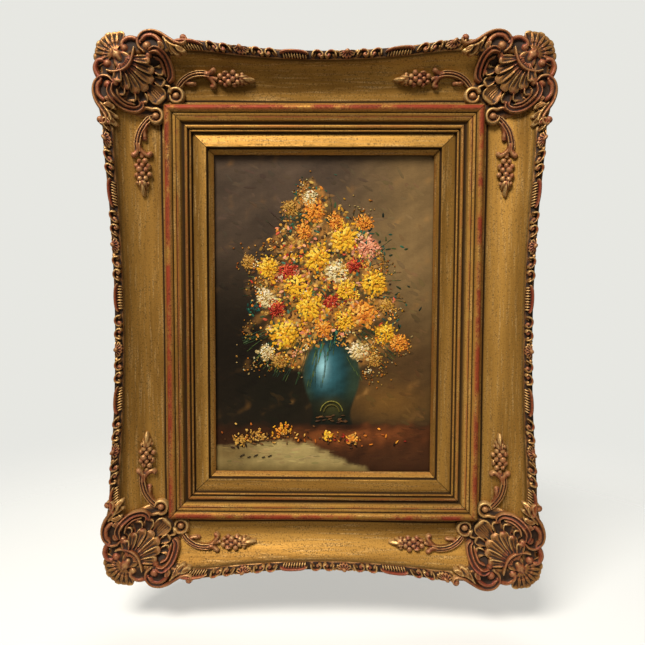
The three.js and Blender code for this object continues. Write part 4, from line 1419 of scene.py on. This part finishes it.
def paint_table(brush):
    rng = brush.rng
    for x, y, radius, paints in FALLEN:
        # The clump's shadow comes first.
        scatter(brush, 12, (x, y + 0.012), (radius * 0.7, radius * 0.22), UMBER, (2, 5), (1, 2), 0.3)
        scatter(brush, 34, (x, y), (radius * 0.52, radius * 0.32), paints[:2] + paints[:3] + OCHRE[:1],
                (1.6, 4.0), (1.2, 2.4), 0.4)
    scatter(brush, 60, (0.22, 0.885), (0.11, 0.012), OCHRE + ORANGE + UMBER, (1.4, 3.6), (1.0, 1.8), 0.4)
    scatter(brush, 46, (0.62, 0.895), (0.12, 0.012), ORANGE + UMBER + RED[:2], (1.6, 4.6), (1.0, 1.8), 0.4)
    # Two arches and a row of dabs decorate the foot of the vase.
    for k in range(26):
        a = math.pi * (0.08 + 0.84 * (k / 25))
        for ring, colour in ((0.052, shade(112, 104, 44)), (0.036, shade(84, 74, 30))):
            brush.dab(VASE_X + ring * math.cos(a), 0.812 - ring * math.sin(a) * 0.72, 3.0, 1.1,
                      a + math.pi / 2, colour, 0.3)
    for k in range(20):
        brush.dab(VASE_X + rng.uniform(-0.075, 0.075), 0.828 + rng.uniform(-0.008, 0.016), 4.0, 1.2,
                  rng.uniform(-0.3, 0.3), UMBER[rng.randrange(3)], 0.3)


def paint_marks(brush):
    """A few loose dark strokes low on the table, which say nothing."""
    marks = ((0.120, 0.953, 5.4, 0.50), (0.152, 0.958, 3.6, 0.32), (0.184, 0.953, 4.6, 0.46),
             (0.220, 0.958, 3.4, 0.28), (0.250, 0.954, 4.0, 0.42))
    for x, y, length, turn in marks:
        brush.dab(x, y, length, 0.9, turn, shade(34, 24, 16), 0.22, 0.0)


# ---------------------------------------------------------------- settings

def colour_prop(name, description, colour):
    return bpy.props.FloatVectorProperty(name=name, description=description, subtype="COLOR", size=3,
                                         min=0.0, max=1.0, default=colour)


class PaintingGiltSettings(bpy.types.PropertyGroup):
    gold: colour_prop("Gold", "Colour of the gold leaf", shade(176, 130, 60))
    gold_dark: colour_prop("Dull gold", "Colour of the leaf where it has dulled", shade(120, 84, 34))
    # The bright gold is the leaf's brightest grain, and also the painted highlight on the carving's proud
    # ridges.
    gold_grain_and_highlight: colour_prop("Bright gold", "Colour of the leaf's brightest grain", shade(220, 178, 112))
    bole: colour_prop("Bole", "Red clay that shows where the leaf is rubbed", shade(150, 48, 30))
    bole_dark: colour_prop("Dark bole", "Red clay under old wax", shade(100, 38, 30))
    patina: colour_prop("Patina", "Brown wax and dirt in the hollows", shade(34, 20, 9))


class PaintingCarvingSettings(bpy.types.PropertyGroup):
    corner_voxel: bpy.props.FloatProperty(
        name="Corner detail", description="Size of the smallest detail in the corners, in millimetres",
        default=0.42, min=0.3, max=2.0)
    sprig_voxel: bpy.props.FloatProperty(
        name="Sprig detail", description="Size of the smallest detail in the sprigs, in millimetres",
        default=0.36, min=0.3, max=2.0)
    edge_voxel: bpy.props.FloatProperty(
        name="Edge detail", description="Size of the smallest detail on the edges, in millimetres",
        default=0.38, min=0.3, max=2.0)
    keep: bpy.props.FloatProperty(
        name="Kept faces", description="Part of the carving's faces that thinning keeps",
        subtype="FACTOR", default=0.21, min=0.1, max=1.0)
    rail_cuts: bpy.props.IntProperty(
        name="Rail cuts", description="Cuts across each rail", default=70, min=8, max=200)


class PaintingPictureSettings(bpy.types.PropertyGroup):
    ground_dark: colour_prop("Dark ground", "Dim side of the background", shade(34, 26, 14))
    ground_warm: colour_prop("Warm ground", "Lit side of the background", shade(112, 86, 50))
    table: colour_prop("Table", "Pale table top", shade(156, 134, 82))
    vase: colour_prop("Vase", "Teal glaze", shade(44, 86, 92))
    vase_dark: colour_prop("Vase shadow", "Glaze in shadow", shade(16, 36, 30))
    vase_light: colour_prop("Vase light", "Highlight on the glaze", shade(150, 196, 198))
    seed: bpy.props.IntProperty(name="Seed", description="Which bouquet is laid", default=11, min=0)


class PaintingStageSettings(bpy.types.PropertyGroup):
    floor: colour_prop("Floor", "Colour of the studio floor", shade(226, 224, 218))
    lens: bpy.props.FloatProperty(name="Lens", description="Focal length on a 36 mm sensor, in millimetres",
                                  default=35.33, min=10.0, max=200.0)
    distance: bpy.props.FloatProperty(name="Distance", description="Camera to the frame's back",
                                      subtype="DISTANCE", unit="LENGTH", default=0.5933, min=0.1)
    key: bpy.props.FloatProperty(name="Key light", description="Power of the light above",
                                 subtype="POWER", default=80.0, min=0.0)
    room: bpy.props.FloatProperty(name="Room light", description="Strength of the light from all around",
                                  default=0.205, min=0.0)


def look_of(name):
    return getattr(bpy.context.scene, "painting_" + name)


GILDINGS = {}


def gilt(name):
    """The gilding with its grain along X, along Z, or the same every way."""
    if name not in GILDINGS:
        stretch = {"along": (0.05, 1, 1), "upright": (1, 1, 0.05), "carved": (1, 1, 1)}[name]
        GILDINGS[name] = gilding("gilt_" + name, look_of("gilt"), stretch, name == "carved")
    return GILDINGS[name]


def paint_material():
    m = Maker("oil_paint")
    tint = m.attribute("paint", "Color")
    streak = m.noise(0.35, 4.0, 0.65, (1.0, 1.0, 2.4))
    tooth = m.noise(1.6, 2.0, 0.5)
    colour = m.mix(streak.step(0.25, 0.75) * 0.22, tint, m.mix(0.5, tint, shade(20, 14, 9)))
    m.set(Base_Color=colour, Metallic=0.0, Roughness=(0.42 + streak * 0.22).clipped(),
          Specular_IOR_Level=0.10)
    m.bump(streak + tooth * 0.35, 0.22, 0.5)
    return m.material


# ---------------------------------------------------------------- operators

class PaintingOperator:
    """Shared by the operators below."""

    bl_options = {"REGISTER", "UNDO"}


class PAINTING_OT_outer_rails(PaintingOperator, bpy.types.Operator):
    """Model the four swept outer rails"""

    bl_idname = "painting.outer_rails"
    bl_label = "Outer Rails"

    def execute(self, context):
        make_rails("outer_rail", False)
        return {"FINISHED"}


class PAINTING_OT_inner_rails(PaintingOperator, bpy.types.Operator):
    """Model the four moulded inner rails"""

    bl_idname = "painting.inner_rails"
    bl_label = "Inner Rails"

    def execute(self, context):
        make_rails("inner_rail", True)
        return {"FINISHED"}


# Whether a pair is the ends or the sides, its names, and the signs that mirror one into the other.
PAIRS = ((True, ("top", "bottom"), (1, -1)), (False, ("right", "left"), (-1, 1)))


def make_rails(kind, is_inner):
    cuts = look_of("carving").rail_cuts
    for is_end, names, signs in PAIRS:
        material = gilt("along" if is_end else "upright")
        first = rail(f"{kind}_{names[0]}_gilded", is_end, is_inner, cuts)
        second = mirrored(first, f"{kind}_{names[1]}_gilded", *signs)
        for obj, name in ((first, names[0]), (second, names[1])):
            smooth(obj, 32)
            finish_piece(obj, [f"{kind}_{name}"], material)


def carved(carving, name, voxel, relax, rounds):
    """Melts a carving, thins its faces and stores its hollows and rubbed places."""
    obj = carving.melt(name, voxel, relax)
    apply_modifier(obj, "DECIMATE", ratio=look_of("carving").keep)
    # Thinning can leave a face twice.
    obj.data.validate()
    smooth(obj, 60)
    store_hollows(obj, rounds)
    co = coordinates(obj) / MM
    place = np.stack([co[:, 0], co[:, 2] + HANG_V], axis=1)
    rub = np.zeros(len(co))
    for points, radius, strength in carving.marks:
        for at in np.asarray(points, float):
            near = np.linalg.norm(place - at[:2], axis=1) / radius
            rub = np.maximum(rub, strength * soft_step(near, 1.25, 0.7))
    store(obj, "rub", rub)
    return obj


class PAINTING_OT_corner_ornaments(PaintingOperator, bpy.types.Operator):
    """Carve the four shell corners"""

    bl_idname = "painting.corner_ornaments"
    bl_label = "Corner Ornaments"

    def execute(self, context):
        carving = Carving()
        carve_corner(carving)
        voxel = look_of("carving").corner_voxel
        first = carved(carving, "corner_top_right", voxel, relax=2, rounds=13)
        copy_to_corners(first, "corner_{level}_{side}", "corner_ornament_{level}_{side}")
        return {"FINISHED"}


def copy_to_corners(first, name, node):
    """Mirrors the top right piece into the other corners, and finishes all four."""
    for level, sign_v in (("top", 1), ("bottom", -1)):
        for side, sign_u in (("right", 1), ("left", -1)):
            words = {"level": level, "side": side}
            obj = first if sign_u == sign_v == 1 else mirrored(first, name.format(**words), sign_u, sign_v)
            finish_piece(obj, [node.format(**words)], gilt("carved"))


class PAINTING_OT_sprigs(PaintingOperator, bpy.types.Operator):
    """Carve the eight sprigs of berries in the cove"""

    bl_idname = "painting.sprigs"
    bl_label = "Sprigs"

    def execute(self, context):
        voxel = look_of("carving").sprig_voxel
        shapes = ((END_SPRIG, "sprig_{level}_rail_{side}"), (SIDE_SPRIG, "sprig_{side}_rail_{level}"))
        for shape, name in shapes:
            carving = Carving()
            carve_sprig(carving, shape)
            first_name = name.format(level="top", side="right") + "_carved"
            first = carved(carving, first_name, voxel, relax=1, rounds=8)
            copy_to_corners(first, name + "_carved", name)
        return {"FINISHED"}


class PAINTING_OT_edge_carvings(PaintingOperator, bpy.types.Operator):
    """Carve the running edge on each rail"""

    bl_idname = "painting.edge_carvings"
    bl_label = "Edge Carvings"

    def execute(self, context):
        voxel = look_of("carving").edge_voxel
        for is_end, names, signs in PAIRS:
            first = carved(carve_edge(is_end), f"edge_{names[0]}", voxel, relax=1, rounds=7)
            second = mirrored(first, f"edge_{names[1]}", *signs)
            for obj, name in ((first, names[0]), (second, names[1])):
                finish_piece(obj, [f"edge_carving_{name}"], gilt("carved"))
        return {"FINISHED"}


class PAINTING_OT_picture(PaintingOperator, bpy.types.Operator):
    """Paint the still life on its board"""

    bl_idname = "painting.picture"
    bl_label = "Picture"

    def execute(self, context):
        look = look_of("picture")
        material = paint_material()
        board = primed_board(look)
        strokes = []
        layers = (("paint_greenery", (paint_ground, paint_greenery)), ("paint_flecks", (paint_flecks,)),
                  ("paint_blooms", (paint_sprays,)), ("paint_table", (paint_table, paint_marks)))
        for step, (name, painters) in enumerate(layers):
            brush = Brush(look.seed + step, LAYER_LIFT * step)
            for painter in painters:
                painter(brush)
            strokes.append(brush.build(name))
        for obj in [board] + strokes:
            smooth(obj, 50)
            finish_piece(obj, ["painted_board"], material)
        return {"FINISHED"}


def primed_board(look):
    """The board, finely divided in front and plain behind."""
    width, height = BOARD_SIZE
    clear_selection()
    across, up = BOARD_CELLS
    bpy.ops.mesh.primitive_grid_add(x_subdivisions=across, y_subdivisions=up, size=2)
    obj = named("painted_board_front")
    co = coordinates(obj)
    points = np.column_stack([co[:, 0] * width / 2, co[:, 1] * height / 2,
                              np.full(len(co), BOARD_FRONT)])
    set_coordinates(obj, to_world(points))
    bpy.ops.object.mode_set(mode="EDIT")
    bpy.ops.mesh.select_all(action="SELECT")
    bpy.ops.mesh.select_mode(type="EDGE")
    bpy.ops.mesh.region_to_loop()
    bpy.ops.mesh.extrude_edges_move(
        TRANSFORM_OT_translate={"value": (0, BOARD_THICKNESS * MM, 0)})
    bpy.ops.mesh.edge_face_add()
    bpy.ops.mesh.select_mode(type="VERT")
    bpy.ops.object.mode_set(mode="OBJECT")
    faces_out(obj)
    co = coordinates(obj) / MM
    x = 0.5 + co[:, 0] / (2 * SIGHT[0])
    y = 0.5 - (co[:, 2] + HANG_V) / (2 * SIGHT[1])
    front = co[:, 1] < -BOARD_FRONT + 0.5
    colours = picture_colour(x, y, look)
    colours[~front] = BOARD_BACK
    colour_points(obj, colours)
    return obj


class PAINTING_OT_stage(PaintingOperator, bpy.types.Operator):
    """Set the floor, the lights and the camera"""

    bl_idname = "painting.stage"
    bl_label = "Stage"

    def execute(self, context):
        look = look_of("stage")
        make_floor(look)
        make_lights(look)
        make_camera(look)
        return {"FINISHED"}


# How far the painting hangs above the floor.
FLOOR_GAP = 0.04


def make_floor(look):
    clear_selection()
    place = (0, 0, CAD_BOX[0][2] - FLOOR_GAP)
    bpy.ops.mesh.primitive_circle_add(vertices=96, radius=12, fill_type="NGON", location=place)
    bpy.ops.object.transform_apply(location=True)
    floor = named("floor")
    m = Maker("studio_floor")
    cloud = m.noise(0.004, 2.0, 0.5)
    at = m.place()
    reach = m.node("ShaderNodeVectorMath", {"operation": "LENGTH"}, {0: at}, "Value")
    m.set(Base_Color=m.mix(cloud, tuple(look.floor), tuple(c * 0.97 for c in look.floor)), Roughness=0.9,
          Alpha=1 - reach.step(240.0, 1000.0))
    floor.data.materials.append(m.material)


def area_light(name, place, aim, size, power, colour=(1, 1, 1)):
    clear_selection()
    bpy.ops.object.light_add(type="AREA", location=place)
    light = bpy.context.object
    light.name = name
    light.data.shape = "RECTANGLE"
    light.data.size, light.data.size_y = size
    light.data.energy = power
    light.data.color = colour
    light.rotation_euler = (Vector(aim) - Vector(place)).to_track_quat("-Z", "Y").to_euler()


def make_lights(look):
    middle = (0.0, 0.0, -HANG_V * MM)
    area_light("window_above", (-0.62, -1.35, 1.45), middle, (1.0, 0.7), look.key, (1.0, 0.98, 0.94))
    area_light("fill_front", (0.9, -1.8, 0.0), middle, (1.6, 1.6), look.key * 0.07, (1.0, 0.98, 0.95))
    area_light("back_soft", (0.3, 1.6, 0.9), middle, (1.6, 1.2), look.key * 0.35)
    world = bpy.data.worlds.new("studio")
    bpy.context.scene.world = world
    world.use_nodes = True
    nodes, links = world.node_tree.nodes, world.node_tree.links
    # The room that shows is pale, and the room that lights the gold is dimmer.
    shown, dim = nodes["Background"], nodes.new("ShaderNodeBackground")
    shown.inputs["Color"].default_value = (0.80, 0.80, 0.76, 1)
    shown.inputs["Strength"].default_value = 1.0
    dim.inputs["Color"].default_value = (0.80, 0.79, 0.76, 1)
    at, split = nodes.new("ShaderNodeTexCoord"), nodes.new("ShaderNodeSeparateXYZ")
    rise = nodes.new("ShaderNodeMapRange")
    links.new(at.outputs["Generated"], split.inputs[0])
    links.new(split.outputs["Z"], rise.inputs["Value"])
    for key, value in (("From Min", -0.2), ("From Max", 0.8), ("To Min", look.room * 0.1),
                       ("To Max", look.room * 1.7)):
        rise.inputs[key].default_value = value
    links.new(rise.outputs[0], dim.inputs["Strength"])
    ray, mix = nodes.new("ShaderNodeLightPath"), nodes.new("ShaderNodeMixShader")
    links.new(ray.outputs["Is Camera Ray"], mix.inputs[0])
    links.new(dim.outputs[0], mix.inputs[1])
    links.new(shown.outputs[0], mix.inputs[2])
    links.new(mix.outputs[0], nodes["World Output"].inputs["Surface"])
    bpy.context.scene.view_settings.view_transform = "Standard"


# How far the camera swings, tips down and rolls, in degrees, and where it is from the picture's middle.
CAMERA_TURN = (0.66, 3.72, 0.20)
CAMERA_SHIFT = (0.0059, 0.031)


def make_camera(look):
    clear_selection()
    bpy.ops.object.camera_add(location=(0, 0, 0))
    camera = bpy.context.object
    camera.name = "camera"
    camera.data.lens = look.lens
    camera.data.sensor_width = 36
    camera.data.dof.use_dof = False
    swing, tip, roll_over = (math.radians(angle) for angle in CAMERA_TURN)
    turn = (Matrix.Rotation(swing, 4, "Z") @ Matrix.Rotation(math.pi / 2 - tip, 4, "X")
            @ Matrix.Rotation(roll_over, 4, "Z"))
    right, up = CAMERA_SHIFT
    camera.matrix_world = Matrix.Translation((right, -look.distance, up - HANG_V * MM)) @ turn
    bpy.context.scene.camera = camera


class PAINTING_PT_panel(bpy.types.Panel):
    """Lists the steps that build the framed painting"""

    bl_label = "Framed Oil Painting"
    bl_idname = "PAINTING_PT_panel"
    bl_space_type = "VIEW_3D"
    bl_region_type = "UI"
    bl_category = "Painting"

    def draw(self, context):
        for group in ("gilt", "carving", "picture", "stage"):
            settings = look_of(group)
            box = self.layout.box()
            for key in settings.__annotations__:
                box.prop(settings, key)
        for operator in OPERATORS:
            self.layout.operator(operator.bl_idname)


OPERATORS = (
    PAINTING_OT_outer_rails, PAINTING_OT_inner_rails, PAINTING_OT_edge_carvings,
    PAINTING_OT_corner_ornaments, PAINTING_OT_sprigs, PAINTING_OT_picture, PAINTING_OT_stage,
)
SETTINGS = {
    "gilt": PaintingGiltSettings, "carving": PaintingCarvingSettings,
    "picture": PaintingPictureSettings, "stage": PaintingStageSettings,
}


def register():
    for cls in (*SETTINGS.values(), *OPERATORS, PAINTING_PT_panel):
        bpy.utils.register_class(cls)
    for name, cls in SETTINGS.items():
        setattr(bpy.types.Scene, "painting_" + name, bpy.props.PointerProperty(type=cls))


def unregister():
    for name in SETTINGS:
        delattr(bpy.types.Scene, "painting_" + name)
    for cls in reversed((*SETTINGS.values(), *OPERATORS, PAINTING_PT_panel)):
        bpy.utils.unregister_class(cls)


def main():
    register()
    bpy.ops.painting.outer_rails()
    bpy.ops.painting.inner_rails()
    bpy.ops.painting.edge_carvings()
    bpy.ops.painting.corner_ornaments()
    bpy.ops.painting.sprigs()
    bpy.ops.painting.picture()
    bpy.ops.painting.stage()


if __name__ == "__main__":
    main()
